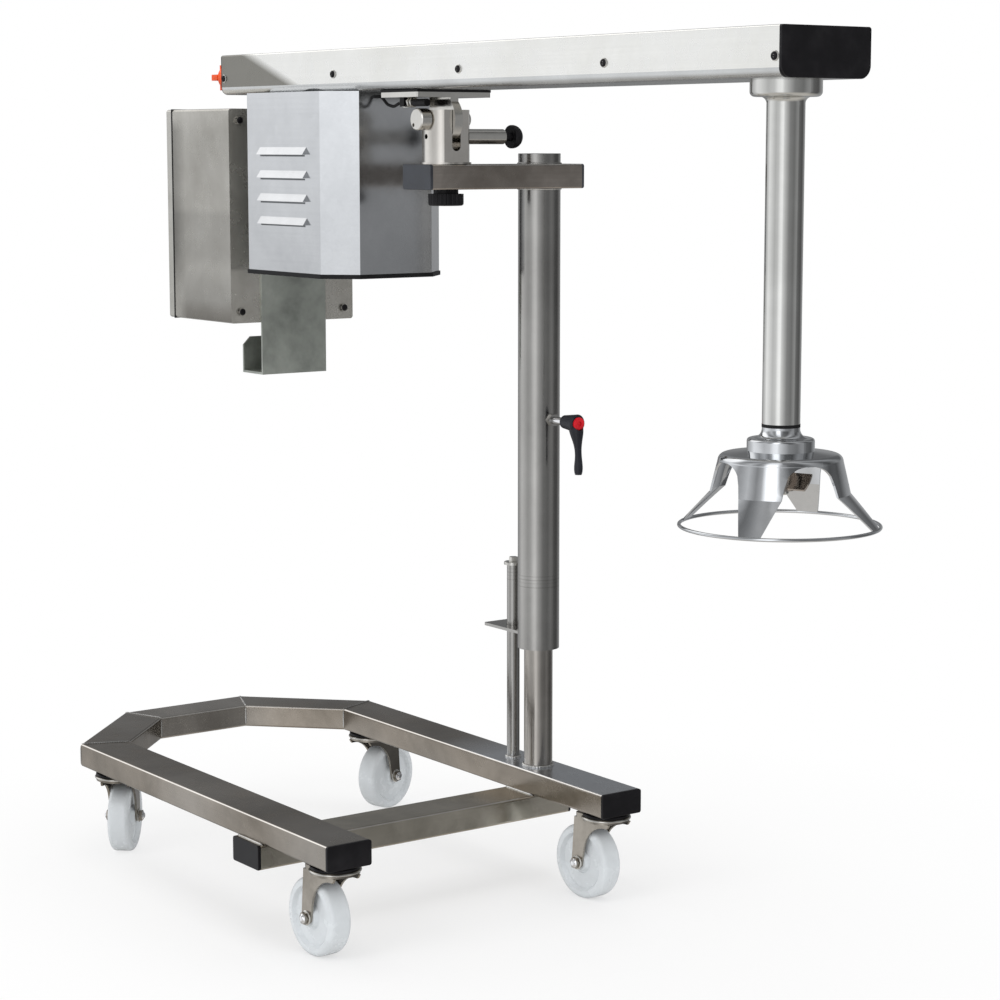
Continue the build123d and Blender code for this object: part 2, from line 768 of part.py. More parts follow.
channel_skin = channel_outline(0)
channel_hollow = channel_outline(beam_wall)
with BuildPart() as beam_channel:
    with BuildSketch(facing_ahead(shell_tail, yoke_y, beam_z)):
        add(channel_skin)
    extrude(amount=shell_len)
    with BuildSketch(facing_ahead(shell_tail, yoke_y, beam_z)):
        add(channel_hollow)
    extrude(amount=shell_len, mode=Mode.SUBTRACT)
    with BuildSketch(Plane((motor_x, yoke_y, beam_z))):
        Circle(30)
    extrude(amount=beam_wall, mode=Mode.SUBTRACT)
    with BuildSketch(Plane((shaft_x, yoke_y, beam_z))):
        Circle(agitator_r + 4)
    extrude(amount=beam_wall, mode=Mode.SUBTRACT)
save(beam_channel, "beam_channel")

with BuildPart() as beam_cover:
    with BuildSketch(facing_ahead(shell_tail, yoke_y, beam_z)):
        with Locations((0, (seam_z - beam_z + beam_h) / 2)):
            Rectangle(beam_w, beam_h - beam_corner_r)
    extrude(amount=shell_len)
    fillet(beam_cover.edges().filter_by(Axis.X).group_by(Axis.Z)[-1], 3)
    with BuildSketch(facing_ahead(shell_tail, yoke_y, beam_z)):
        with Locations((0, (seam_z - beam_z + beam_h) / 2 - cover_t)):
            Rectangle(beam_w - 2 * cover_t, beam_h - beam_corner_r)
    extrude(amount=shell_len, mode=Mode.SUBTRACT)
save(beam_cover, "beam_cover")


def beam_end_plug(face_x, outward, thick, lower_r):
    """Moulded end cap of the beam; outward is +1 at the nose and -1 at the tail."""
    face = Plane(origin=(face_x, yoke_y, beam_z), x_dir=(0, outward, 0), z_dir=(outward, 0, 0))
    with BuildPart() as plug:
        with BuildSketch(face) as outline:
            with Locations((0, beam_h / 2)):
                Rectangle(beam_w, beam_h)
            fillet(outline.vertices().group_by(Axis.Y)[0], lower_r)
            fillet(outline.vertices().group_by(Axis.Y)[-1], 4)
        extrude(amount=thick)
        fillet(plug.faces().sort_by(Axis(face.origin, face.z_dir))[-1].edges(), 1.2)
        with BuildSketch(face):
            with Locations((0, beam_h / 2)):
                Rectangle(beam_w - 2 * beam_corner_r, beam_h - 20)
        extrude(amount=-10)
    return plug


save(beam_end_plug(nose_x - nose_cap_t, 1, nose_cap_t, beam_corner_r + 5), "beam_head_cap")
switch_y = yoke_y - half_beam + 28
switch_z = beam_z + 31
rear_plug = beam_end_plug(tail_x + tail_cap_t, -1, tail_cap_t, beam_corner_r)
with BuildPart() as beam_rear_cap:
    add(rear_plug.part)
    with BuildSketch(facing_ahead(tail_x, switch_y, switch_z)):
        Circle(4 + fit_gap)
    extrude(amount=tail_cap_t + 10, mode=Mode.SUBTRACT)
save(beam_rear_cap, "beam_rear_cap")

screw_inset = 8.0
screw_x = [shell_tail + screw_inset + step * (shell_len - 2 * screw_inset) / 4 for step in range(5)]


def cover_screw(x, side):
    """Button-head screw through the cover's skirt; side is -1 near and +1 far."""
    face = Plane(origin=(x, yoke_y + side * half_beam, beam_z + 28), x_dir=(1, 0, 0), z_dir=(0, side, 0))
    with BuildPart() as screw:
        with BuildSketch(face):
            Circle(5)
        extrude(amount=3)
        fillet(screw.faces().sort_by(Axis(face.origin, face.z_dir))[-1].edges(), 2.4)
        with BuildSketch(face.offset(3)):
            RegularPolygon(1.5, 6, major_radius=False)
        extrude(amount=-1.6, mode=Mode.SUBTRACT)
    return screw


group([cover_screw(x, side) for side in (-1, 1) for x in screw_x], "beam_screws")

# ---------------------------------------------------------------- pivot bracket
plate_front = yoke_x + mount_plate_lead
plate_mid = plate_front - mount_plate_x / 2
with BuildPart() as mount_gasket:
    with BuildSketch(Plane((plate_mid, yoke_y, beam_z))):
        Rectangle(mount_plate_x, mount_plate_y)
    extrude(amount=-gasket_t)
save(mount_gasket, "mount_gasket")

plate_top = beam_z - gasket_t
with BuildPart() as mount_plate:
    with BuildSketch(Plane((plate_mid, yoke_y, plate_top))):
        Rectangle(mount_plate_x, mount_plate_y)
    extrude(amount=-mount_plate_t)
    fillet(mount_plate.edges().filter_by(Axis.Z), 3)
save(mount_plate, "mount_plate")

plate_foot = plate_top - mount_plate_t
lug_rise = plate_foot - pin_z
slot_start = -14.0
slot_end = 32.0
with BuildPart() as pivot_lug:
    with BuildSketch(facing_near(yoke_x, yoke_y + lug_t / 2, pin_z)):
        Circle(lug_r - run_gap)
        with Locations((-5, lug_rise / 2)):
            Rectangle(60, lug_rise)
        with Locations((0, lug_rise + lug_r)):
            Rectangle(3 * lug_r, 2 * lug_r, mode=Mode.SUBTRACT)
        Circle(pin_r + fit_gap, mode=Mode.SUBTRACT)
    extrude(amount=lug_t)
    with BuildSketch(facing_near(yoke_x, yoke_y + lug_t / 2, pin_z)):
        with BuildLine():
            arc = CenterArc((0, 0), plunger_drop, 270 - slot_end, slot_end - slot_start)
        SlotArc(arc, 2 * plunger_pin_r + 1.2)
    extrude(amount=6, mode=Mode.SUBTRACT)
save(pivot_lug, "pivot_lug")

# ================================================================ drive
motor_top = beam_z
with BuildPart() as motor:
    with BuildSketch(Plane((motor_x, yoke_y, motor_top))):
        Circle(motor_flange_r)
        with PolarLocations(motor_flange_r - 9, 4, start_angle=45):
            Circle(4.5, mode=Mode.SUBTRACT)
    extrude(amount=-motor_flange_t)
    with BuildSketch(Plane((motor_x, yoke_y, motor_top - motor_flange_t))):
        Circle(motor_r)
        with PolarLocations(motor_r, 20):
            Rectangle(8, 2.5)
    extrude(amount=-(motor_len - 45))
    with BuildSketch(Plane((motor_x, yoke_y, motor_top - motor_flange_t - motor_len + 45))):
        Circle(motor_r + 3)
    extrude(amount=-45)
    fillet(motor.edges().group_by(Axis.Z)[0], 8)
    with BuildSketch(Plane((motor_x, yoke_y, motor_top))):
        Circle(9.5 + fit_gap)
    extrude(amount=-60, mode=Mode.SUBTRACT)
save(motor, "motor")

flange_t = 2.0


def grooved_pulley(x, radius, bore, foot, head):
    """Flanged belt pulley between heights foot and head, bored for its shaft."""
    with BuildPart() as pulley:
        with BuildSketch(Plane((x, yoke_y, belt_z - belt_w / 2 - flange_t - 0.5))):
            Circle(radius + 3)
        extrude(amount=flange_t)
        with BuildSketch(Plane((x, yoke_y, belt_z - belt_w / 2 - 0.5))):
            Circle(radius)
        extrude(amount=belt_w + 1)
        with BuildSketch(Plane((x, yoke_y, belt_z + belt_w / 2 + 0.5))):
            Circle(radius + 3)
        extrude(amount=flange_t)
        with BuildSketch(Plane((x, yoke_y, foot))):
            Circle(bore + 9)
        extrude(amount=head - foot)
        with BuildSketch(Plane((x, yoke_y, foot))):
            Circle(bore)
        extrude(amount=head - foot, mode=Mode.SUBTRACT)
    return pulley


pulley_foot = belt_z - belt_w / 2 - 8
pulley_head = belt_z + belt_w / 2 + 8
with BuildPart() as motor_shaft:
    with BuildSketch(Plane((motor_x, yoke_y, motor_top - 60 + run_gap))):
        Circle(9.5)
    extrude(amount=pulley_head - motor_top + 60 - run_gap)
motor_pulley = grooved_pulley(motor_x, motor_pulley_r, 9.5 + seat_gap, pulley_foot, pulley_head)
group([motor_shaft, motor_pulley], "motor_pulley")

driven_pulley = grooved_pulley(shaft_x, driven_pulley_r, agitator_r, pulley_foot, pulley_head)
save(driven_pulley, "driven_pulley")

with BuildPart() as drive_belt:
    with BuildSketch(Plane.XY.offset(belt_z - belt_w / 2)):
        with Locations((motor_x, yoke_y)):
            Circle(motor_pulley_r + run_gap + belt_t)
        with Locations((shaft_x, yoke_y)):
            Circle(driven_pulley_r + run_gap + belt_t)
        make_hull()
    extrude(amount=belt_w)
    with BuildSketch(Plane.XY.offset(belt_z - belt_w / 2)):
        with Locations((motor_x, yoke_y)):
            Circle(motor_pulley_r + run_gap)
        with Locations((shaft_x, yoke_y)):
            Circle(driven_pulley_r + run_gap)
        make_hull()
    extrude(amount=belt_w, mode=Mode.SUBTRACT)
save(drive_belt, "drive_belt")

impeller_z = hub_foot - 38
impeller_h = 26.0
with BuildPart() as agitator_shaft:
    with BuildSketch(Plane((shaft_x, yoke_y, impeller_z - impeller_h / 2 - 6))):
        Circle(agitator_r)
    extrude(amount=pulley_head - impeller_z + impeller_h / 2 + 6)
    chamfer(agitator_shaft.edges().group_by(Axis.Z)[0], 2)
save(agitator_shaft, "agitator_shaft")

blade_count = 4
blade_reach = 46.0
with BuildPart() as impeller:
    with BuildSketch(Plane((shaft_x, yoke_y, impeller_z - impeller_h / 2))):
        Circle(20)
    extrude(amount=impeller_h)
    for number in range(blade_count):
        turn = number * 360 / blade_count + 20
        out = (cos(radians(turn)), sin(radians(turn)), 0)
        side = (-sin(radians(turn)), cos(radians(turn)), 0)
        root = (shaft_x + out[0] * 17, yoke_y + out[1] * 17, impeller_z)
        pitched = (side[0] * cos(radians(40)), side[1] * cos(radians(40)), sin(radians(40)))
        with BuildSketch(Plane(origin=root, x_dir=pitched, z_dir=out)):
            Rectangle(30, 3)
        extrude(amount=blade_reach - 17)
    with BuildSketch(Plane((shaft_x, yoke_y, impeller_z - impeller_h / 2 - 20))):
        Circle(blade_reach + 20)
        Circle(blade_reach - 1, mode=Mode.SUBTRACT)
    extrude(amount=impeller_h + 40, mode=Mode.SUBTRACT)
    with BuildSketch(Plane((shaft_x, yoke_y, impeller_z - impeller_h / 2))):
        Circle(agitator_r)
    extrude(amount=impeller_h, mode=Mode.SUBTRACT)
save(impeller, "impeller")

# ================================================================ agitator tube
tube_bore = agitator_tube_r - agitator_tube_wall
with BuildPart() as bearing_cup:
    with BuildSketch(Plane(origin=(shaft_x, yoke_y, tube_top), x_dir=(1, 0, 0), z_dir=(0, -1, 0))):
        with BuildLine():
            Polyline((tube_bore, 0), (agitator_tube_r, 0), (agitator_tube_r, 2))
            RadiusArc((agitator_tube_r, 2), (agitator_tube_r + 9, cup_neck_h), 9)
            Line((agitator_tube_r + 9, cup_neck_h), (cup_r - 7, cup_neck_h))
            RadiusArc((cup_r - 7, cup_neck_h), (cup_r, cup_neck_h + 7), -7)
            Polyline((cup_r, cup_neck_h + 7), (cup_r, cup_neck_h + cup_h), (tube_bore, cup_neck_h + cup_h))
            Line((tube_bore, cup_neck_h + cup_h), (tube_bore, 0))
        make_face()
    revolve(axis=Axis((shaft_x, yoke_y, 0), (0, 0, 1)))
save(bearing_cup, "bearing_cup")

with BuildPart() as shaft_tube:
    with BuildSketch(Plane((shaft_x, yoke_y, tube_foot))):
        Circle(agitator_tube_r)
        Circle(tube_bore, mode=Mode.SUBTRACT)
    extrude(amount=tube_len)
save(shaft_tube, "shaft_tube")

with BuildPart() as seal_ring:
    with BuildSketch(Plane((shaft_x, yoke_y, hub_top))):
        Circle(agitator_tube_r + 0.3)
        Circle(agitator_r + 3, mode=Mode.SUBTRACT)
    extrude(amount=seal_t)
save(seal_ring, "seal_ring")

bearing_h = 12.0
bearing_spots = (beam_z - 16, beam_z - 34, tube_foot + 30)


def bearing(base):
    """Ball bearing closed with shields, between the agitator shaft and its tube."""
    with BuildPart() as race:
        with BuildSketch(Plane((shaft_x, yoke_y, base))):
            Circle(tube_bore)
            Circle(agitator_r + fit_gap, mode=Mode.SUBTRACT)
        extrude(amount=bearing_h)
    return race


group([bearing(base) for base in bearing_spots], "shaft_bearings")

# ---------------------------------------------------------------- guard bell
def leg_outline():
    """Outline of one guard leg seen from outside, narrowing to the ring."""
    with BuildSketch(Plane.XY) as shape:
        with BuildLine():
            Line((-64, hub_foot + 6), (64, hub_foot + 6))
            Line((64, hub_foot + 6), (64, hub_foot - 10))
            ThreePointArc((64, hub_foot - 10), (44, hub_foot - 14), (35, hub_foot - 24))
            Polyline((35, hub_foot - 24), (32, hub_foot - 37), (30, crease_z), (12.5, ring_z - 6))
            Polyline((12.5, ring_z - 6), (-12.5, ring_z - 6), (-30, crease_z), (-32, hub_foot - 37))
            Line((-32, hub_foot - 37), (-35, hub_foot - 24))
            ThreePointArc((-35, hub_foot - 24), (-44, hub_foot - 14), (-64, hub_foot - 10))
            Line((-64, hub_foot - 10), (-64, hub_foot + 6))
        make_face()
    return shape.sketch


leg_turn = 30.9
crease_z = ring_z + crease_h
leg_shape = leg_outline()
with BuildPart() as guard:
    with BuildSketch(Plane(origin=(shaft_x, yoke_y, 0), x_dir=(1, 0, 0), z_dir=(0, -1, 0))):
        with BuildLine():
            Line((hub_r - 2, hub_foot + bell_rise), (shoulder_r - 10, hub_foot))
            RadiusArc((shoulder_r - 10, hub_foot), (shoulder_r, hub_foot - 10), 10.5)
            Line((shoulder_r, hub_foot - 10), (crease_r, crease_z))
            Line((crease_r, crease_z), (guard_r, ring_z + 1))
            Line((guard_r, ring_z + 1), (guard_r - guard_sheet, ring_z + 1))
            Line((guard_r - guard_sheet, ring_z + 1), (crease_r - guard_sheet, crease_z + 1))
            Line((crease_r - guard_sheet, crease_z + 1), (shoulder_r - guard_sheet, hub_foot - 10))
            RadiusArc((shoulder_r - guard_sheet, hub_foot - 10), (shoulder_r - 10, hub_foot - guard_sheet), -7.5)
            Line((shoulder_r - 10, hub_foot - guard_sheet), (hub_r - 2, hub_foot + bell_rise - guard_sheet))
            Line((hub_r - 2, hub_foot + bell_rise - guard_sheet), (hub_r - 2, hub_foot + bell_rise))
        make_face()
    revolve(axis=Axis((shaft_x, yoke_y, 0), (0, 0, 1)))
bell_shell = guard.part

with BuildPart() as leg_block:
    for quarter in range(4):
        turn = radians(-90 + leg_turn + 90 * quarter)
        out = (cos(turn), sin(turn), 0)
        right = (-sin(turn), cos(turn), 0)
        with BuildSketch(Plane(origin=(shaft_x, yoke_y, 0), x_dir=right, z_dir=out)):
            add(leg_shape)
        extrude(amount=guard_r + 10)
    with BuildSketch(Plane((shaft_x, yoke_y, hub_foot - 12))):
        Circle(shoulder_r - 16)
    extrude(amount=20)

with BuildPart() as guard_ring:
    with BuildSketch(Plane(origin=(shaft_x, yoke_y, 0), x_dir=(1, 0, 0), z_dir=(0, -1, 0))):
        with Locations((guard_r, ring_z)):
            Circle(guard_rod_r)
    revolve(axis=Axis((shaft_x, yoke_y, 0), (0, 0, 1)))
save(guard_ring, "guard_ring")

with BuildPart() as guard:
    add(bell_shell)
    add(leg_block.part, mode=Mode.INTERSECT)
    with BuildSketch(Plane(origin=(shaft_x, yoke_y, hub_foot), x_dir=(1, 0, 0), z_dir=(0, -1, 0))):
        with BuildLine():
            Polyline((agitator_r + 3, 0), (hub_r, 0), (hub_r, 17))
            RadiusArc((hub_r, 17), (hub_r - 4, 21), -4)
            Line((hub_r - 4, 21), (agitator_tube_r + 11, 21))
            RadiusArc((agitator_tube_r + 11, 21), (agitator_tube_r, hub_h - 3), 13)
            Polyline((agitator_tube_r, hub_h - 3), (agitator_tube_r, hub_h), (agitator_r + 3, hub_h))
            Line((agitator_r + 3, hub_h), (agitator_r + 3, 0))
        make_face()
    revolve(axis=Axis((shaft_x, yoke_y, 0), (0, 0, 1)))
    add(guard_ring.part, mode=Mode.SUBTRACT)
save(guard, "guard")

# ================================================================ motor cover
cover_rear = yoke_x - cover_x0
cover_front = yoke_x - cover_x1
cover_foot = beam_z - cover_h


def cover_plan(inset, mode=Mode.ADD):
    """Plan of the motor cover: square at the rear, chamfered at the front."""
    half = cover_w / 2 - inset
    cut = cover_chamfer - inset * tan(radians(22.5))
    x0 = cover_rear + inset
    x1 = cover_front - inset
    Polygon(
        (x0, yoke_y - half),
        (x1 - cut, yoke_y - half),
        (x1, yoke_y - half + cut),
        (x1, yoke_y + half - cut),
        (x1 - cut, yoke_y + half),
        (x0, yoke_y + half),
        align=None,
        mode=mode,
    )


louvre_x = (cover_rear + cover_front - cover_chamfer) / 2
with BuildPart() as motor_housing:
    with BuildSketch(Plane.XY.offset(cover_foot)):
        cover_plan(0)
    extrude(amount=cover_h)
    with BuildSketch(Plane.XY.offset(cover_foot)):
        cover_plan(cover_sheet)
    extrude(amount=cover_h - cover_sheet, mode=Mode.SUBTRACT)
    with BuildSketch(Plane((motor_x, yoke_y, beam_z - cover_sheet))):
        Circle(motor_flange_r + 1)
    extrude(amount=cover_sheet, mode=Mode.SUBTRACT)
    for side in (-1, 1):
        wall_y = yoke_y + side * cover_w / 2
        for number in range(louvre_count):
            top = beam_z - louvre_top - number * louvre_pitch
            with BuildSketch(facing_ahead(louvre_x - louvre_w / 2, wall_y, top)):
                Polygon((0, 0), (side * louvre_out, -louvre_h), (0, -louvre_h), align=None)
            extrude(amount=louvre_w)
            with BuildSketch(facing_ahead(louvre_x - louvre_w / 2 + 3, wall_y, top)):
                Polygon(
                    (-side * cover_sheet, -4),
                    (side * (louvre_out - 3), -louvre_h),
                    (-side * cover_sheet, -louvre_h),
                    align=None,
                )
            extrude(amount=louvre_w - 6, mode=Mode.SUBTRACT)
save(motor_housing, "motor_housing")

trim_foot = cover_foot - trim_h + 4
with BuildPart() as housing_trim:
    with BuildSketch(Plane.XY.offset(trim_foot)):
        cover_plan(-2)
        cover_plan(cover_sheet + 2, mode=Mode.SUBTRACT)
    extrude(amount=trim_h)
    with BuildSketch(Plane.XY.offset(cover_foot)):
        cover_plan(0)
        cover_plan(cover_sheet, mode=Mode.SUBTRACT)
    extrude(amount=trim_h, mode=Mode.SUBTRACT)
save(housing_trim, "housing_trim")

# ================================================================ carrier hook and box
hook_front = yoke_x - box_back + hook_t
hook_foot = beam_z - hook_drop
with BuildPart() as hook_plate:
    with BuildSketch(facing_near(hook_front, yoke_y + hook_w / 2, 0)):
        with BuildLine():
            Polyline(
                (0, hook_foot),
                (0, beam_z - hook_t),
                (45, beam_z - hook_t),
                (45, beam_z),
                (-hook_t, beam_z),
                (-hook_t, hook_foot + hook_t),
                (-hook_depth, hook_foot + hook_t),
                (-hook_depth, hook_foot + hook_lip),
                (-hook_depth - hook_t, hook_foot + hook_lip),
                (-hook_depth - hook_t, hook_foot),
                (0, hook_foot),
            )
        make_face()
    extrude(amount=hook_w)
    lip_corners = hook_plate.edges().filter_by(Axis.X).group_by(Axis.Z)
    lip_x = hook_front - hook_depth - hook_t / 2
    tips = [e for e in hook_plate.edges().filter_by(Axis.X)
            if abs(e.center().Z - hook_foot - hook_lip) < 0.01]
    chamfer(tips, 14)
save(hook_plate, "hook_plate")

box_top = beam_z - box_drop
box_foot = box_top - box_h
box_rear_wall = yoke_x - box_back
box_mouth = box_rear_wall - box_d
door_front = box_mouth - door_gap - door_t
hinge_x = box_mouth - door_gap / 2
hinge_y = yoke_y + box_w / 2 + 4.5
knuckle_r = 3.5
knuckle_pin_r = 1.5
knuckle_h = 20.0
hinge_feet = (box_top - 60, box_foot + 20)
box_mid = (box_top + box_foot) / 2
inner_w = box_w - 2 * box_wall
inner_h = box_h - 2 * box_wall
with BuildPart() as control_box:
    with BuildSketch(facing_ahead(box_mouth, yoke_y, box_mid)):
        RectangleRounded(box_w, box_h, 5)
    extrude(amount=box_d)
    with BuildSketch(facing_ahead(box_mouth, yoke_y, box_mid)):
        RectangleRounded(inner_w, inner_h, 3)
    extrude(amount=box_d - box_wall, mode=Mode.SUBTRACT)
    for foot in hinge_feet:
        with BuildSketch(Plane((hinge_x, hinge_y, foot))):
            Circle(knuckle_r)
            with Locations((6, -2.2)):
                Rectangle(12, 4.6)
        extrude(amount=knuckle_h)
        with BuildSketch(Plane((hinge_x, hinge_y, foot + knuckle_h))):
            Circle(knuckle_pin_r)
        extrude(amount=knuckle_h)
    with BuildSketch(facing_ahead(box_rear_wall, yoke_y, box_mid)):
        with GridLocations(box_w - 40, box_h - 40, 2, 2):
            RegularPolygon(6.5, 6, major_radius=False)
    extrude(amount=5)
save(control_box, "control_box")

with BuildPart() as box_door:
    with BuildSketch(facing_ahead(door_front, yoke_y, box_mid)):
        RectangleRounded(box_w, box_h, 5)
    extrude(amount=door_t)
    fillet(box_door.faces().sort_by(Axis.X)[0].edges(), 2.5)
    with BuildSketch(facing_ahead(door_front + box_wall, yoke_y, box_mid)):
        RectangleRounded(inner_w, inner_h, 3)
    extrude(amount=door_t - box_wall, mode=Mode.SUBTRACT)
    for foot in hinge_feet:
        with BuildSketch(Plane((hinge_x, hinge_y, foot + knuckle_h + run_gap))):
            Circle(knuckle_r)
            with Locations((-6, -2.2)):
                Rectangle(12, 4.6)
            Circle(knuckle_pin_r + fit_gap, mode=Mode.SUBTRACT)
        extrude(amount=knuckle_h - run_gap)
    with BuildSketch(facing_ahead(door_front, yoke_y, box_top - 110)):
        Circle(3 + fit_gap)
    extrude(amount=door_t, mode=Mode.SUBTRACT)
save(box_door, "box_door")


def turn_knob(name, face_x, y, z, radius, height, stem_r, stem_len):
    """Rotary knob standing off a face towards -X, with its stem through the face."""
    with BuildPart() as knob:
        with BuildSketch(facing_ahead(face_x - run_gap, y, z)):
            Circle(radius)
        extrude(amount=-height * 0.55)
        with BuildSketch(facing_ahead(face_x - run_gap - height * 0.55, y, z)):
            Rectangle(radius * 0.5, radius * 2.1)
            Rectangle(radius * 2.1, radius * 0.5)
        extrude(amount=-height * 0.45)
        with BuildSketch(facing_ahead(face_x - run_gap, y, z)):
            Circle(stem_r)
        extrude(amount=stem_len)
    save(knob, name)


turn_knob("speed_knob", door_front, yoke_y, box_top - 110, 15, 22, 3, 12)
turn_knob("main_switch", tail_x, switch_y, switch_z, 21, 44, 4, 14)

# ================================================================ tilt sensor
sensor_z = plate_foot - 8
sensor_y = yoke_y - 30
sensor_tail = yoke_x - 76
with BuildPart() as sensor:
    with BuildSketch(facing_ahead(sensor_tail, sensor_y, sensor_z)):
        Circle(6)
    extrude(amount=68)
    with BuildSketch(Plane((yoke_x - 68, sensor_y, plate_foot))):
        Rectangle(12, 18)
    extrude(amount=-14)
save(sensor, "sensor")

cable_r = 2.5
cable_y = sensor_y - 6
route = [
    (cover_front, cable_y, beam_z - 9),
    (cover_front + 14, cable_y, beam_z - 9),
    (cover_front + 28, cable_y + 2, beam_z - 22),
    (cover_front + 44, cable_y + 4, beam_z - 26),
    (cover_front + 58, sensor_y, sensor_z),
    (sensor_tail, sensor_y, sensor_z),
]
with BuildPart() as sensor_cable:
    with BuildLine() as centre_line:
        FilletPolyline(*route, radius=[14, 16, 16, 14])
    with BuildSketch(Plane(origin=centre_line.line @ 0, z_dir=centre_line.line % 0)):
        Circle(cable_r)
    sweep()
save(sensor_cable, "sensor_cable")
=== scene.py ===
import bpy, bmesh, math, random
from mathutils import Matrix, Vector


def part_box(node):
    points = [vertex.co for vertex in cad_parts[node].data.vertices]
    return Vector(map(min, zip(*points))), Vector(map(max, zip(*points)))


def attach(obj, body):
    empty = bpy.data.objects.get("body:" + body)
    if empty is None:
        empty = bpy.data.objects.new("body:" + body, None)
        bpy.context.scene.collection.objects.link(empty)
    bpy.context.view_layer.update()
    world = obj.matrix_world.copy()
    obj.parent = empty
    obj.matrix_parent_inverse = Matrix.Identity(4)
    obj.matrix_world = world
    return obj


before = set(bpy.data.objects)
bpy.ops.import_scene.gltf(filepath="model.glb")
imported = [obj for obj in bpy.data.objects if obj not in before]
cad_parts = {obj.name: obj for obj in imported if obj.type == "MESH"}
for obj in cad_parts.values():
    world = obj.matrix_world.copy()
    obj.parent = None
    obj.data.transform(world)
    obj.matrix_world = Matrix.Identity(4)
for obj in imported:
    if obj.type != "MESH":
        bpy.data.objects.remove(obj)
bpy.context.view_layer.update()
random.seed(7)

# ---------------------------------------------------------------- camera
CAMERA_AT = (3.29415, -2.27904, 1.2405)
CAMERA_LOOKS_DOWN = 7.98  # degrees
CAMERA_TURN = 54.27  # degrees about the upright
CAMERA_LENS = 91.3

cam_data = bpy.data.cameras.new("camera")
cam_data.lens = CAMERA_LENS
cam_data.clip_end = 100
cam = bpy.data.objects.new("camera", cam_data)
cam.location = CAMERA_AT
cam.rotation_euler = (math.radians(90 - CAMERA_LOOKS_DOWN), 0, math.radians(CAMERA_TURN))
bpy.context.scene.collection.objects.link(cam)
bpy.context.scene.camera = cam
bpy.context.scene.view_settings.view_transform = "Standard"


# ---------------------------------------------------------------- node helpers
def new_mat(name):
    m = bpy.data.materials.new(name)
    m.use_nodes = True
    return m, m.node_tree, m.node_tree.nodes["Principled BSDF"]


def coords(nt, scale=(1, 1, 1)):
    """Object coordinates, stretched by scale."""
    tc = nt.nodes.new("ShaderNodeTexCoord")
    mp = nt.nodes.new("ShaderNodeMapping")
    mp.inputs["Scale"].default_value = scale
    nt.links.new(tc.outputs["Object"], mp.inputs["Vector"])
    return mp.outputs["Vector"]


def noise(nt, vec, scale, detail=4.0, rough=0.55, distort=0.0):
    n = nt.nodes.new("ShaderNodeTexNoise")
    n.inputs["Scale"].default_value = scale
    n.inputs["Detail"].default_value = detail
    n.inputs["Roughness"].default_value = rough
    n.inputs["Distortion"].default_value = distort
    nt.links.new(vec, n.inputs["Vector"])
    return n.outputs["Fac"]


def ramp(nt, fac, stops):
    """Colour ramp through stops of (position, colour)."""
    r = nt.nodes.new("ShaderNodeValToRGB")
    els = r.color_ramp.elements
    els[0].position, els[0].color = stops[0][0], (*stops[0][1], 1)
    els[1].position, els[1].color = stops[-1][0], (*stops[-1][1], 1)
    for pos, col in stops[1:-1]:
        e = els.new(pos)
        e.color = (*col, 1)
    nt.links.new(fac, r.inputs["Fac"])
    return r.outputs["Color"]


def mixc(nt, fac, a, b, mode="MIX"):
    m = nt.nodes.new("ShaderNodeMix")
    m.data_type = "RGBA"
    m.blend_type = mode
    if isinstance(fac, float):
        m.inputs[0].default_value = fac
    else:
        nt.links.new(fac, m.inputs[0])
    for sock, val in ((6, a), (7, b)):
        if isinstance(val, tuple):
            m.inputs[sock].default_value = (*val, 1)
        else:
            nt.links.new(val, m.inputs[sock])
    return m.outputs[2]


def remap(nt, fac, lo, hi, a=0.0, b=1.0):
    """Carry a..b to lo..hi, clamped."""
    m = nt.nodes.new("ShaderNodeMapRange")
    m.inputs["From Min"].default_value = a
    m.inputs["From Max"].default_value = b
    m.inputs["To Min"].default_value = lo
    m.inputs["To Max"].default_value = hi
    nt.links.new(fac, m.inputs["Value"])
    return m.outputs["Result"]


def chain(nt, op, a, b=None, clamp=False):
    """One Math node."""
    m = nt.nodes.new("ShaderNodeMath")
    m.operation = op
    m.use_clamp = clamp
    for sock, val in ((0, a), (1, b)):
        if val is None:
            continue
        if isinstance(val, (int, float)):
            m.inputs[sock].default_value = val
        else:
            nt.links.new(val, m.inputs[sock])
    return m.outputs[0]


def part_of(nt, vector, letter):
    """One part of the object's own "Object" place, in metres, or of its "Normal"."""
    tc = nt.nodes.new("ShaderNodeTexCoord")
    sp = nt.nodes.new("ShaderNodeSeparateXYZ")
    nt.links.new(tc.outputs[vector], sp.inputs["Vector"])
    return sp.outputs[letter]


def bump(nt, bsdf, height, strength, dist):
    b = nt.nodes.new("ShaderNodeBump")
    b.inputs["Strength"].default_value = strength
    b.inputs["Distance"].default_value = dist
    nt.links.new(height, b.inputs["Height"])
    nt.links.new(b.outputs["Normal"], bsdf.inputs["Normal"])


# ---------------------------------------------------------------- materials
# Noise stretched so that the polishing marks run along one axis; "N" is an even grain.
POLISH = {"X": (3, 260, 260), "Y": (260, 3, 260), "Z": (260, 260, 3), "N": (60, 60, 60)}
POLISH_DEPTH = 0.0004
PEBBLE_DEPTH = 0.0003


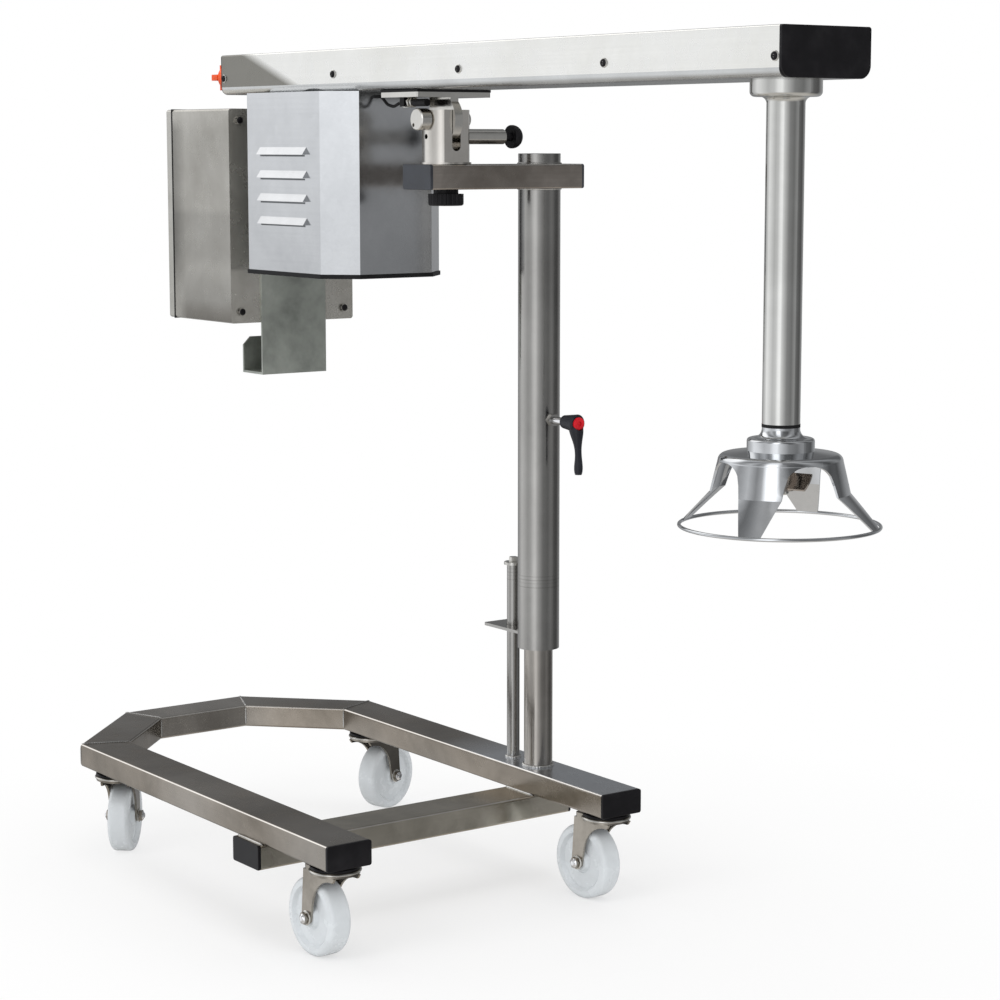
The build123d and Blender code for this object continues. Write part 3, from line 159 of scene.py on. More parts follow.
def metal(name, dark, light, along="X", rough=(0.3, 0.5), grain=1.0, blotch=1.0, metallic=1.0, tint=None,
          relief=0.12):
    """Brushed stainless: fine streaks along one axis over soft cloudy patches."""
    m, nt, bsdf = new_mat(name)
    streak = noise(nt, coords(nt, POLISH[along]), 1.0, 3.0, 0.6)
    cloud = noise(nt, coords(nt), 6.0, 5.0, 0.6, 0.4)
    patch = noise(nt, coords(nt), 34.0, 3.0, 0.55)
    mid = tuple((a + b) / 2 for a, b in zip(dark, light))
    spread = 0.22 / blotch
    base = ramp(nt, cloud, [(0.5 - spread, dark), (0.5, mid), (0.5 + spread, light)])
    base = mixc(nt, remap(nt, streak, 0.0, 0.35 * grain, 0.3, 0.7), base, tuple(c * 0.72 for c in mid))
    base = mixc(nt, remap(nt, patch, 0.0, 0.22, 0.45, 0.75), base, tuple(min(1, c * 1.12) for c in light))
    if tint:
        wide = noise(nt, coords(nt), 2.3, 2.0)
        base = mixc(nt, remap(nt, wide, 0.0, 0.5, 0.45, 0.7), base, tint)
    nt.links.new(base, bsdf.inputs["Base Color"])
    bsdf.inputs["Metallic"].default_value = metallic
    nt.links.new(remap(nt, patch, rough[0], rough[1], 0.3, 0.7), bsdf.inputs["Roughness"])
    bump(nt, bsdf, streak, relief * grain, POLISH_DEPTH)
    return m


def plastic(name, col, rough=0.45, pebble=0.15, scale=900, spread=0.25, shine=0.25):
    """Moulded plastic or rubber with a fine pebbled skin and faint scuffs."""
    m, nt, bsdf = new_mat(name)
    grain = noise(nt, coords(nt), scale, 3.0, 0.6)
    scuff = noise(nt, coords(nt), 22.0, 4.0, 0.6)
    light = tuple(min(1.0, c * (1 + spread) + 0.004) for c in col)
    dark = tuple(c * (1 - spread) for c in col)
    nt.links.new(ramp(nt, scuff, [(0.35, dark), (0.5, col), (0.7, light)]), bsdf.inputs["Base Color"])
    nt.links.new(remap(nt, scuff, rough - 0.07, rough + 0.1, 0.3, 0.7), bsdf.inputs["Roughness"])
    bump(nt, bsdf, grain, pebble, PEBBLE_DEPTH)
    bsdf.inputs["Specular IOR Level"].default_value = shine
    return m


MAT = {
    "rail_x": metal("rail_steel_x", (0.19, 0.165, 0.135), (0.36, 0.315, 0.265), "X", (0.18, 0.30), 0.6, 1.4,
                    tint=(0.42, 0.41, 0.39), relief=0.03),
    "rail_y": metal("rail_steel_y", (0.28, 0.255, 0.225), (0.52, 0.48, 0.43), "Y", (0.18, 0.30), 0.6, 1.2,
                    relief=0.03),
    "cross": metal("cross_tube_steel", (0.38, 0.35, 0.29), (0.66, 0.61, 0.52), "Y", (0.16, 0.27), 0.6, 1.3,
                   relief=0.03),
    "arm": metal("arm_steel", (0.26, 0.228, 0.198), (0.50, 0.45, 0.405), "Y", (0.17, 0.30), 1.0, 1.7, relief=0.03),
    "mast": metal("mast_steel", (0.37, 0.36, 0.345), (0.47, 0.46, 0.44), "Z", (0.16, 0.23), 0.4, relief=0.02),
    "inner": metal("inner_mast_steel", (0.38, 0.355, 0.325), (0.52, 0.49, 0.455), "Z", (0.17, 0.26), 0.5,
                   relief=0.03),
    "bright": metal("bright_steel", (0.66, 0.655, 0.63), (0.78, 0.775, 0.75), "Z", (0.06, 0.12), 0.25, relief=0.0),
    "bell": metal("bell_steel", (0.58, 0.595, 0.61), (0.82, 0.83, 0.845), "N", (0.05, 0.10), 0.2, 1.2,
                  relief=0.008),
    "bright_n": metal("bright_steel_turned", (0.56, 0.545, 0.51), (0.76, 0.745, 0.71), "N", (0.12, 0.24), 0.5,
                      relief=0.05),
    "yoke": metal("yoke_steel", (0.60, 0.565, 0.52), (0.80, 0.77, 0.725), "Z", (0.12, 0.19), 0.4, relief=0.02),
    "cap": metal("cap_steel", (0.30, 0.295, 0.285), (0.72, 0.715, 0.70), "N", (0.14, 0.32), 0.9, 1.7, relief=0.06),
    "fork": metal("fork_steel", (0.17, 0.148, 0.122), (0.42, 0.385, 0.335), "N", (0.15, 0.28), 0.6, 1.6,
                  relief=0.03),
    "zinc": metal("zinc_steel", (0.30, 0.29, 0.26), (0.56, 0.54, 0.49), "N", (0.22, 0.42), 0.8, 1.4),
    "weld": metal("weld_bead", (0.42, 0.41, 0.39), (0.82, 0.81, 0.79), "N", (0.18, 0.34), 0.6, 1.5),
    "chrome": metal("chrome", (0.78, 0.78, 0.79), (0.90, 0.90, 0.91), "N", (0.05, 0.12), 0.3),
    "beam": metal("beam_cover_steel", (0.84, 0.83, 0.785), (0.97, 0.965, 0.94), "X", (0.22, 0.30), 0.3,
                  relief=0.05),
    "channel": metal("beam_channel_steel", (0.56, 0.565, 0.56), (0.76, 0.77, 0.765), "X", (0.20, 0.30), 0.8),
    "box": metal("box_steel", (0.34, 0.325, 0.29), (0.56, 0.545, 0.505), "Z", (0.20, 0.30), 0.5, 1.1,
                 metallic=0.75, relief=0.015),
    "cover": metal("cover_steel", (0.58, 0.59, 0.605), (0.71, 0.72, 0.735), "X", (0.15, 0.21), 0.4, relief=0.01),
    "door": metal("door_steel", (0.42, 0.41, 0.375), (0.62, 0.605, 0.57), "Z", (0.20, 0.30), 0.6, 1.2,
                  metallic=0.85, relief=0.02),
    "blade": metal("blade_steel", (0.42, 0.375, 0.34), (0.64, 0.585, 0.54), "Z", (0.16, 0.26), 0.5, 1.3,
                   relief=0.02),
    "galv": metal("galvanised", (0.19, 0.205, 0.185), (0.44, 0.465, 0.425), "N", (0.30, 0.46), 0.6, 1.8,
                  metallic=0.45, relief=0.05),
    "iron": metal("motor_iron", (0.10, 0.11, 0.12), (0.20, 0.21, 0.22), "N", (0.45, 0.6), metallic=0.2),
    "black": plastic("black_plastic", (0.008, 0.0075, 0.009), 0.36, shine=0.2),
    "blue_grey": plastic("arm_cap_plastic", (0.030, 0.034, 0.043), 0.38, shine=0.45),
    "charcoal": plastic("charcoal_plastic", (0.016, 0.017, 0.023), 0.36, shine=0.3),
    "red": plastic("red_plastic", (0.62, 0.01, 0.02), 0.3, 0.05),
    "orange": plastic("orange_plastic", (0.85, 0.10, 0.02), 0.38, 0.05),
    "nylon": plastic("white_nylon", (0.705, 0.74, 0.765), 0.24, 0.04, 700, 0.05, 0.6),
    "white": plastic("white_plastic", (0.72, 0.72, 0.70), 0.4, 0.05, 700, 0.05),
    "guide": plastic("guide_plastic", (0.70, 0.70, 0.66), 0.4, 0.06, 700, 0.06),
    "rubber": plastic("black_rubber", (0.012, 0.012, 0.013), 0.55, 0.25, shine=0.15),
}


# ---------------------------------------------------------------- local tones
def repaint(key, paint):
    """Pass a material's colour through paint(node_tree, old colour)."""
    nt = MAT[key].node_tree
    base = nt.nodes["Principled BSDF"].inputs["Base Color"]
    nt.links.new(paint(nt, base.links[0].from_socket), base)


def shade_by(key, mask_of, colour):
    """Lay a second tone over a material where mask_of(node_tree) is 1."""
    repaint(key, lambda nt, old: mixc(nt, mask_of(nt), old, colour))


def times(key, colour_of):
    """Multiply a material's colour by colour_of(node_tree)."""
    repaint(key, lambda nt, old: mixc(nt, 1.0, old, colour_of(nt), "MULTIPLY"))


def grey(v, warm=0.0):
    return (v * (1 + warm), v, v * (1 - warm))


def painted_reflection_end(nt):
    """Painted reflection: the beam cover's rear end darkened, up to a soft slanted edge."""
    slant = chain(nt, "MULTIPLY", part_of(nt, "Object", "Z"), 2.8)
    return remap(nt, chain(nt, "ADD", part_of(nt, "Object", "X"), slant), 1.0, 0.0, 3.304, 3.350)


def ring_lines(nt):
    """Four faint turned rings low on the outer mast."""
    z = part_of(nt, "Object", "Z")
    total = None
    for level, depth in ((0.5245, 0.35), (0.5185, 0.5), (0.513, 0.25), (0.506, 0.5)):
        near = chain(nt, "ABSOLUTE", chain(nt, "SUBTRACT", z, level))
        line = remap(nt, near, depth * 0.6, 0.0, 0.0003, 0.0013)
        total = line if total is None else chain(nt, "ADD", total, line, True)
    return total


def painted_edge_highlight(nt):
    """Painted highlight: the rounded upper corners of a square tube, lightened where their normal tilts upward."""
    z = part_of(nt, "Normal", "Z")
    tilt = chain(nt, "SUBTRACT", chain(nt, "MULTIPLY", chain(nt, "MULTIPLY", z, z), 2.0), 1.0)
    slope = chain(nt, "SUBTRACT", 1.0, chain(nt, "ABSOLUTE", tilt))
    upward = remap(nt, z, 0.0, 1.0, 0.1, 0.3)
    return chain(nt, "MULTIPLY", remap(nt, slope, 0.0, 0.8, 0.25, 0.9), upward)


def painted_reflection_by_mast(nt):
    """Painted reflection: the far rail's top made pale and bluish round the mast."""
    along = remap(nt, part_of(nt, "Object", "X"), 0.0, 0.8, -0.34, -0.19)
    far = remap(nt, part_of(nt, "Object", "Y"), 0.0, 1.0, 0.05, 0.10)
    top = remap(nt, part_of(nt, "Normal", "Z"), 0.0, 1.0, 0.6, 0.9)
    return chain(nt, "MULTIPLY", chain(nt, "MULTIPLY", along, far), top)


def painted_light_bands(nt):
    """Painted reflection and shade on the control box's side walls: bands, darker low down and by the door; the
    other faces lightened.
    """
    lo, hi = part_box("control_box")
    level = remap(nt, part_of(nt, "Object", "Z"), 0.0, 1.0, lo[2], hi[2])
    wide = ramp(nt, level, [
        (0.0, grey(0.34, 0.04)), (0.04, grey(0.42, 0.03)), (0.10, grey(0.64)), (0.17, grey(0.70)),
        (0.25, grey(0.78)), (0.32, grey(0.70)), (0.50, grey(0.70)), (0.54, grey(0.86)),
        (0.86, grey(0.84)), (0.95, grey(0.92)), (1.0, grey(1.0))])
    by_door = ramp(nt, level, [
        (0.0, grey(0.86)), (0.10, grey(0.82)), (0.17, grey(0.70)), (0.25, grey(0.52)), (0.32, grey(0.40)),
        (0.50, grey(0.39)), (0.54, grey(0.52)), (0.90, grey(0.54)), (0.96, grey(0.95)), (1.0, grey(1.0))])
    near_door = remap(nt, part_of(nt, "Object", "X"), 1.0, 0.0, lo[0] + 0.012, lo[0] + 0.050)
    bands = mixc(nt, near_door, wide, by_door)
    side = remap(nt, chain(nt, "ABSOLUTE", part_of(nt, "Normal", "Y")), 0.0, 1.0, 0.5, 0.9)
    # painted light: faces other than the side walls, the back wall among them, are lightened
    return mixc(nt, side, grey(1.25), bands)


def painted_shade_to_foot(nt):
    """Painted shade: the motor cover darkens a little towards its foot."""
    lo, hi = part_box("motor_housing")
    level = remap(nt, part_of(nt, "Object", "Z"), 0.0, 1.0, lo[2], hi[2])
    return ramp(nt, level, [(0.0, grey(0.82)), (0.5, grey(0.95)), (1.0, grey(1.06))])


# painted reflection: a dark patch laid over the beam cover's rear end
shade_by("beam", painted_reflection_end, (0.25, 0.242, 0.217))
shade_by("mast", ring_lines, (0.20, 0.19, 0.175))
# painted reflection: a pale patch on the far rail's top by the mast
shade_by("rail_x", painted_reflection_by_mast, (0.86, 0.90, 0.96))
# painted highlight on the rounded upper corners of the square tubes
for key in ("rail_x", "rail_y", "cross", "arm"):
    shade_by(key, painted_edge_highlight, (0.92, 0.89, 0.85))
# painted reflection bands and painted shade over the control box
times("box", painted_light_bands)
# painted shade: the motor cover darker low down
times("cover", painted_shade_to_foot)

# CAD nodes and their materials; the castors' forks and wheels are matched by name
NODE_MAT = {
    "side_rails": "rail_x", "diagonal_tubes": "rail_x", "front_tube": "rail_y", "cross_tube": "cross",
    "trolley_end_caps": "black", "inner_mast": "inner", "guide_rod": "mast", "guide_rod_bolt": "bright_n",
    "castor_races": "black", "outer_mast": "mast", "mast_bushes": "guide", "mast_cap": "cap",
    "guide_plate": "mast", "top_arm": "arm", "arm_end_caps": "blue_grey", "clamp_lever": "charcoal",
    "clamp_screw": "chrome", "clamp_button": "red", "lock_knob": "black", "yoke": "yoke",
    "pivot_pin": "bright_n", "plunger_barrel": "bright_n", "plunger": "black", "beam_channel": "channel",
    "beam_cover": "beam", "beam_head_cap": "black", "beam_rear_cap": "black", "beam_screws": "bright_n",
    "mount_gasket": "rubber", "mount_plate": "bright_n", "pivot_lug": "bright_n", "motor": "iron",
    "motor_housing": "cover", "housing_trim": "rubber", "drive_belt": "rubber", "bearing_cup": "bright",
    "shaft_tube": "bright", "seal_ring": "rubber", "shaft_bearings": "zinc", "guard": "bell",
    "guard_ring": "bell", "control_box": "box", "hook_plate": "galv", "sensor": "black",
    "sensor_cable": "rubber", "motor_pulley": "zinc", "driven_pulley": "zinc", "agitator_shaft": "bright",
    "impeller": "blade", "box_door": "door", "speed_knob": "black", "main_switch": "orange",
}
for name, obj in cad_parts.items():
    key = NODE_MAT.get(name, "fork" if "fork" in name else "nylon")
    if not obj.data.materials:
        obj.data.materials.append(None)
    for i in range(len(obj.data.materials)):
        obj.data.materials[i] = MAT[key]

# ---------------------------------------------------------------- mesh helpers
BEAD_STEP = 0.0014  # between the rings of a weld bead
BEAD_SIDES = 8
UP = Vector((0, 0, 1))


def mesh_piece(name, verts, faces, mat, body, smooth=True):
    me = bpy.data.meshes.new(name)
    me.from_pydata([tuple(v) for v in verts], [], faces)
    me.update()
    for poly in me.polygons:
        poly.use_smooth = smooth
    me.materials.append(MAT[mat])
    ob = bpy.data.objects.new(name, me)
    bpy.context.scene.collection.objects.link(ob)
    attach(ob, body)
    return ob


def wall_faces(rings, sides, closed=False):
    """Faces between rings of vertices, each ring to the next."""
    faces = []
    for i in range(rings if closed else rings - 1):
        here, there = i * sides, (i + 1) % rings * sides
        for j in range(sides):
            k = (j + 1) % sides
            faces.append((here + j, here + k, there + k, there + j))
    return faces


def end_faces(rings, sides):
    """The two faces that fill the first and the last ring."""
    return [tuple(range(sides - 1, -1, -1)), tuple((rings - 1) * sides + j for j in range(sides))]


def weld(name, path, r, body, closed=False, pitch=0.0042):
    """Rippled weld bead along a path: overlapping scallops, a little uneven."""
    pts = []
    for a, b in zip(path, path[1:] + (path[:1] if closed else [])):
        n = max(2, int((b - a).length / BEAD_STEP))
        pts += [a.lerp(b, i / n) for i in range(n)]
    if not closed:
        pts.append(path[-1])
    verts, travel = [], 0.0
    for i, p in enumerate(pts):
        nxt = pts[(i + 1) % len(pts)] if closed or i + 1 < len(pts) else p
        prv = pts[i - 1] if closed or i > 0 else p
        along = (nxt - prv).normalized()
        u = along.cross(UP if abs(along.z) < 0.9 else Vector((1, 0, 0))).normalized()
        v = u.cross(along)
        travel += (p - prv).length
        wave = 0.86 + 0.2 * abs(math.sin(math.pi * travel / pitch)) + random.uniform(-0.05, 0.05)
        taper = 1.0 if closed else min(1.0, 0.35 + 0.65 * min(i, len(pts) - 1 - i) / 3)
        for j in range(BEAD_SIDES):
            t = 2 * math.pi * j / BEAD_SIDES
            verts.append(p + (u * math.cos(t) + v * math.sin(t)) * r * wave * taper)
    faces = wall_faces(len(pts), BEAD_SIDES, closed) + ([] if closed else end_faces(len(pts), BEAD_SIDES))
    return mesh_piece(name, verts, faces, "weld", body)


def straight_weld(name, a, b, r):
    weld(name, [Vector(a), Vector(b)], r, "trolley")


def level_arc(cx, cy, z, r, degrees):
    """Points of a level circle, at angles in degrees from +x."""
    turns = [math.radians(deg) for deg in degrees]
    return [Vector((cx + r * math.cos(t), cy + r * math.sin(t), z)) for t in turns]


def middle(corners):
    """Half way between a low and a high corner."""
    return (corners[0] + corners[1]) / 2


def islands(name):
    """Low and high corner of each separate shell of a node."""
    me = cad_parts[name].data
    parent = list(range(len(me.vertices)))

    def root(i):
        while parent[i] != i:
            parent[i] = parent[parent[i]]
            i = parent[i]
        return i

    keys = {}
    for v in me.vertices:
        k = tuple(round(c, 5) for c in v.co)
        if k in keys:
            parent[root(v.index)] = root(keys[k])
        else:
            keys[k] = v.index
    for e in me.edges:
        parent[root(e.vertices[0])] = root(e.vertices[1])
    boxes = {}
    for v in me.vertices:
        lo, hi = boxes.setdefault(root(v.index), ([9.0] * 3, [-9.0] * 3))
        for a in range(3):
            lo[a] = min(lo[a], v.co[a])
            hi[a] = max(hi[a], v.co[a])
    return [(Vector(lo), Vector(hi)) for lo, hi in boxes.values()]


def lathe(name, origin, axis, profile, mat, body, n=32):
    """Turned piece: profile of (distance along axis, radius) about an axis."""
    axis = Vector(axis).normalized()
    u = axis.orthogonal().normalized()
    v = axis.cross(u)
    verts = []
    for d, r in profile:
        for j in range(n):
            t = 2 * math.pi * j / n
            verts.append(Vector(origin) + axis * d + (u * math.cos(t) + v * math.sin(t)) * max(r, 1e-5))
    ob = mesh_piece(name, verts, wall_faces(len(profile), n), mat, body)
    bm = bmesh.new()
    bm.from_mesh(ob.data)
    bmesh.ops.remove_doubles(bm, verts=bm.verts, dist=2e-5)
    bmesh.ops.recalc_face_normals(bm, faces=bm.faces)
    bm.to_mesh(ob.data)
    bm.free()
    return ob


# ---------------------------------------------------------------- welds
TUBE_W = 0.080
MITRE = TUBE_W * math.tan(math.radians(22.5))
rails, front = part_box("side_rails"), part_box("front_tube")
near_y, far_y = rails[0][1], rails[1][1]
foot, top = rails[0][2], rails[1][2]
corner_x, front_x = rails[0][0], front[0][0]
for tag, side, corner_y, front_y in (("near", 1, near_y, front[0][1]), ("far", -1, far_y, front[1][1])):
    for kind, x, y, dx, dy, inward in (
        ("corner", corner_x, corner_y, MITRE, side * TUBE_W, 0.0),
        ("front", front_x, front_y, TUBE_W, side * MITRE, 0.0015),
    ):
        name = f"weld_{kind}_{tag}"
        start, end = Vector((x, y, top + 0.0002)), Vector((x + dx, y + dy, top + 0.0002))
        straight_weld(f"{name}_top", start.lerp(end, 0.02), end, 0.0016)
        straight_weld(f"{name}_out", (x + inward, y, foot + 0.004), (x + inward, y, top - 0.004), 0.0013)
        straight_weld(f"{name}_in", (x + dx, y + dy, foot + 0.004), (x + dx, y + dy, top - 0.004), 0.0016)

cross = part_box("cross_tube")
inner_near, inner_far = near_y + TUBE_W, far_y - TUBE_W
for tag, y in (("near_in", inner_near), ("far_in", inner_far), ("near_out", near_y), ("far_out", far_y - 0.003)):
    straight_weld(f"weld_cross_{tag}", (cross[0][0] + 0.002, y, foot), (cross[1][0] - 0.002, y, foot), 0.0024)
for tag, x in (("open", cross[1][0]), ("front", cross[0][0])):
    for side, y0, y1 in (("near", near_y + 0.003, inner_near - 0.003), ("far", inner_far + 0.003, far_y - 0.006)):
        straight_weld(f"weld_cross_{tag}_{side}", (x, y0, foot), (x, y1, foot), 0.0018)

MAST_FOOT_R, ROD_FOOT_R, ARM_WELD_R, PLATE_WELD_R = 0.0249, 0.0116, 0.0352, 0.0354
arm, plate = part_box("top_arm"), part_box("guide_plate")
mx, my, _ = middle(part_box("inner_mast"))
gx, gy, _ = middle(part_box("guide_rod"))
for name, x, y, z, ring_r, r, body in (
    ("weld_mast_foot", mx, my, top + 0.0012, MAST_FOOT_R, 0.0028, "trolley"),
    ("weld_rod_foot", gx, gy, top + 0.001, ROD_FOOT_R, 0.0024, "trolley"),
    ("weld_arm_top", mx, my, arm[1][2] + 0.0006, ARM_WELD_R, 0.0017, "mast"),
    ("weld_arm_foot", mx, my, arm[0][2] - 0.0006, ARM_WELD_R, 0.0017, "mast"),
):
    weld(name, level_arc(x, y, z, ring_r, range(0, 360, 5)), r, body, True)
arc = level_arc(mx, my, plate[1][2] + 0.0006, PLATE_WELD_R, range(122, 239, 4))
weld("weld_guide_plate", arc, 0.0014, "mast")

# ---------------------------------------------------------------- screws and nuts
# Turned profiles, as (distance along the axis, radius) in metres
SCREW_RING = [(0.0, 0.0071), (0.0009, 0.0070), (0.0012, 0.0064), (0.0012, 0.0)]
SCREW_HEAD = [(0.0008, 0.0058), (0.0022, 0.0057), (0.0034, 0.0048), (0.0040, 0.0032), (0.0041, 0.0026),
              (0.0028, 0.0018), (0.0028, 0.0)]
NUT_DOME = [(0.0, 0.0066), (0.0038, 0.0066), (0.0056, 0.0056), (0.0066, 0.0034), (0.0068, 0.0)]
AXLE_WASHER = [(0.0, 0.0080), (0.0, 0.0117), (0.0003, 0.0120), (0.0012, 0.0118), (0.0012, 0.0080)]
AXLE_END = [(0.0, 0.0078), (0.0009, 0.0076), (0.0010, 0.0050), (0.0030, 0.0048), (0.0036, 0.0036), (0.0036, 0.0)]

# beam cover: a bright rim and a black, hollowed head on each screw
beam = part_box("beam_cover")
for i, (lo, hi) in enumerate(islands("beam_screws")):
    mid, size = (lo + hi) / 2, hi - lo
    at_end = mid.x < beam[0][0] + 0.01 or mid.x > beam[1][0] - 0.01
    faces_x = size.x < max(size.y, size.z) * 0.98
    is_round = min(size.y, size.z) > 0.009 and abs(size.y - size.z) < 0.0008
    if at_end and faces_x and is_round:
        out = 1 if mid.x > 0 else -1
        axis = Vector((out, 0, 0))
        start = Vector((lo.x if out > 0 else hi.x, mid.y, mid.z))
    else:
        out = 1 if mid.y > middle(beam).y else -1
        axis = Vector((0, out, 0))
        start = Vector((mid.x, beam[1][1] if out > 0 else beam[0][1], mid.z))
    lathe(f"screw_ring_{i}", start, axis, SCREW_RING, "bright_n", "head")
    lathe(f"screw_head_{i}", start, axis, SCREW_HEAD, "black", "head")

# control box: a black dome over each of the four nuts on its back wall. The node takes in
# the hinge knuckles on the far side, so the middle is half the sheet box's width from the near one.
BOX_W = 0.250
NUT_H = 0.005
NUT_FROM_EDGE = 0.020
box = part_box("control_box")
box_y, box_z = box[0][1] + BOX_W / 2, (box[0][2] + box[1][2]) / 2
nut_y, nut_z = BOX_W / 2 - NUT_FROM_EDGE, (box[1][2] - box[0][2]) / 2 - NUT_FROM_EDGE
for i, (sy, sz) in enumerate(((-1, -1), (-1, 1), (1, -1), (1, 1))):
    at = (box[1][0] - NUT_H, box_y + sy * nut_y, box_z + sz * nut_z)
    lathe(f"box_nut_{i}", at, (1, 0, 0), NUT_DOME, "black", "head")

# ---------------------------------------------------------------- castors
# The fork crown's rolled lip, and the washers and domed ends of the axle
LIP_R = 0.0019
LIP_SIDES = 10
LIP_BELOW_CROWN = 0.0021
AXLE_NUT_H = 0.007
race_boxes = islands("castor_races")
races = [(lo + hi) / 2 for lo, hi in race_boxes if hi.x - lo.x > 0.05]
lip_path_r = max(hi.x - lo.x for lo, hi in race_boxes) / 2 + 0.0001
for spot in ("near_open", "far_open", "near_front", "far_front"):
    body = f"fork_{spot}"
    hub = middle(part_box(f"castor_wheel_{spot}"))
    king = min(races, key=lambda c: (c.xy - hub.xy).length)
    ahead = Vector((hub.x - king.x, hub.y - king.y, 0)).normalized()
    across = Vector((-ahead.y, ahead.x, 0))
    skin = [v.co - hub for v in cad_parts[f"castor_fork_{spot}"].data.vertices]
    reach = max(c.dot(across) for c in skin if abs(c.z) < 0.012)
    crown = Vector((king.x, king.y, max(c.z for c in skin) + hub.z - LIP_BELOW_CROWN))
    verts, bends = [], range(50, 311, 4)  # open towards the wheel
    for deg in bends:
        t = math.radians(deg)
        out = ahead * math.cos(t) + across * math.sin(t)
        for j in range(LIP_SIDES):
            s = 2 * math.pi * j / LIP_SIDES
            verts.append(crown + out * lip_path_r + (out * math.cos(s) + UP * math.sin(s)) * LIP_R)
    faces = wall_faces(len(bends), LIP_SIDES) + end_faces(len(bends), LIP_SIDES)
    mesh_piece(f"fork_lip_{spot}", verts, faces, "bright_n", body)
    for tag, side in (("a", 1), ("b", -1)):
        out = across * side
        seat, tip = hub + out * (reach - AXLE_NUT_H), hub + out * reach
        lathe(f"axle_washer_{spot}_{tag}", seat, out, AXLE_WASHER, "bright_n", body)
        lathe(f"axle_end_{spot}_{tag}", tip, out, AXLE_END, "chrome", body)

# ---------------------------------------------------------------- louvre shade strips
# Painted shade: a dark strip under the lip of each louvre of the motor cover, standing in for the shaded slit
LOUVRE_OUT = 0.008
SHADE_STRIP_FACES = [(0, 1, 3, 2), (4, 6, 7, 5), (0, 4, 5, 1), (2, 3, 7, 6), (0, 2, 6, 4), (1, 5, 7, 3)]
shell = [v.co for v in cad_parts["motor_housing"].data.vertices]
for tag, out, edge in (("near", -1, min(c.y for c in shell)), ("far", 1, max(c.y for c in shell))):
    lips = [c for c in shell if abs(c.y - edge) < 0.0006]
    x0, x1 = min(c.x for c in lips) + 0.001, max(c.x for c in lips) - 0.006
    wall = edge - out * LOUVRE_OUT
    for i, z in enumerate(sorted({round(c.z, 3) for c in lips})):
        verts = [Vector((x, wall + out * off, z - drop))
                 for x in (x0, x1) for off in (-0.0002, 0.0006) for drop in (0.0034, 0.0006)]
        mesh_piece(f"louvre_shade_strip_{tag}_{i}", verts, SHADE_STRIP_FACES, "iron", "head", False)

# ---------------------------------------------------------------- door seal
# A dark frame in the gap between the control box and its door
DOOR_T = 0.020
SEAL_SHORT = 0.002  # on the hinge side
door_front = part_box("box_door")[0][0]
seal_x = (door_front + DOOR_T + 0.0001, door_front + DOOR_T + 0.0028)
y0, y1 = box_y - BOX_W / 2, box_y + BOX_W / 2 - SEAL_SHORT
z0, z1 = box[0][2], box[1][2]
verts, faces = [], []
for x in seal_x:
    for inset in (-0.0008, 0.006):
        lo_y, hi_y, lo_z, hi_z = y0 + inset, y1 - inset, z0 + inset, z1 - inset
        verts += [Vector((x, y, z)) for y, z in ((lo_y, lo_z), (hi_y, lo_z), (hi_y, hi_z), (lo_y, hi_z))]
for j in range(4):
    k = (j + 1) % 4
    faces += [(j, k, 4 + k, 4 + j), (8 + j, 12 + j, 12 + k, 8 + k)]
    faces += [(j, 8 + j, 8 + k, k), (4 + j, 4 + k, 12 + k, 12 + j)]
mesh_piece("door_seal", verts, faces, "rubber", "head", False)

# ---------------------------------------------------------------- sensor
# A white clamp at the cable end and two thin lock nuts
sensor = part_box("sensor")
tail, sensor_r = sensor[0][0], (sensor[1][2] - sensor[0][2]) / 2
_, sy, sz = middle(sensor)
core = sensor_r * 0.6
clamp = [(0.0, core), (0.0, sensor_r + 0.0012), (0.0012, sensor_r + 0.0018), (0.0078, sensor_r + 0.0018),
         (0.009, sensor_r + 0.0012), (0.009, core)]
nut = [(0.0, core), (0.0, sensor_r + 0.0014), (0.0006, sensor_r + 0.002), (0.0034, sensor_r + 0.002),
       (0.004, sensor_r + 0.0014), (0.004, core)]
lathe("sensor_clamp", (tail + 0.0005, sy, sz), (1, 0, 0), clamp, "white", "head", 24)
for i, at in enumerate((0.018, 0.026)):
    lathe(f"sensor_nut_{i}", (tail + at, sy, sz), (1, 0, 0), nut, "bright_n", "head", 6)

# ---------------------------------------------------------------- floor
# Matt floor that keeps the object's shadow and fades to white away from it
FADE_FROM, FADE_TO = 0.3, 1.3
floor_mat, nt, bsdf = new_mat("floor")
bsdf.inputs["Base Color"].default_value = (0.9, 0.9, 0.9, 1)
bsdf.inputs["Roughness"].default_value = 0.9
bsdf.inputs["Specular IOR Level"].default_value = 0.0
white = nt.nodes.new("ShaderNodeEmission")
white.inputs["Color"].default_value = (1, 1, 1, 1)
white.inputs["Strength"].default_value = 1.0
surface = nt.nodes.new("ShaderNodeMixShader")
geo = nt.nodes.new("ShaderNodeNewGeometry")
away = nt.nodes.new("ShaderNodeVectorMath")
away.operation = "LENGTH"
nt.links.new(geo.outputs["Position"], away.inputs[0])
fade = remap(nt, away.outputs["Value"], 0.55, 1.0, FADE_FROM, FADE_TO)
path = nt.nodes.new("ShaderNodeLightPath")
seen = chain(nt, "MAXIMUM", path.outputs["Is Camera Ray"], path.outputs["Is Glossy Ray"])
seen = chain(nt, "MAXIMUM", seen, path.outputs["Is Transmission Ray"])
nt.links.new(chain(nt, "MULTIPLY", fade, seen), surface.inputs[0])
nt.links.new(bsdf.outputs[0], surface.inputs[1])
nt.links.new(white.outputs[0], surface.inputs[2])
nt.links.new(surface.outputs[0], nt.nodes["Material Output"].inputs["Surface"])
me = bpy.data.meshes.new("floor")
me.from_pydata([(-30, -30, 0), (30, -30, 0), (30, 30, 0), (-30, 30, 0)], [], [(0, 1, 2, 3)])
floor = bpy.data.objects.new("floor", me)
me.materials.append(floor_mat)
floor.visible_glossy = False
bpy.context.scene.collection.objects.link(floor)

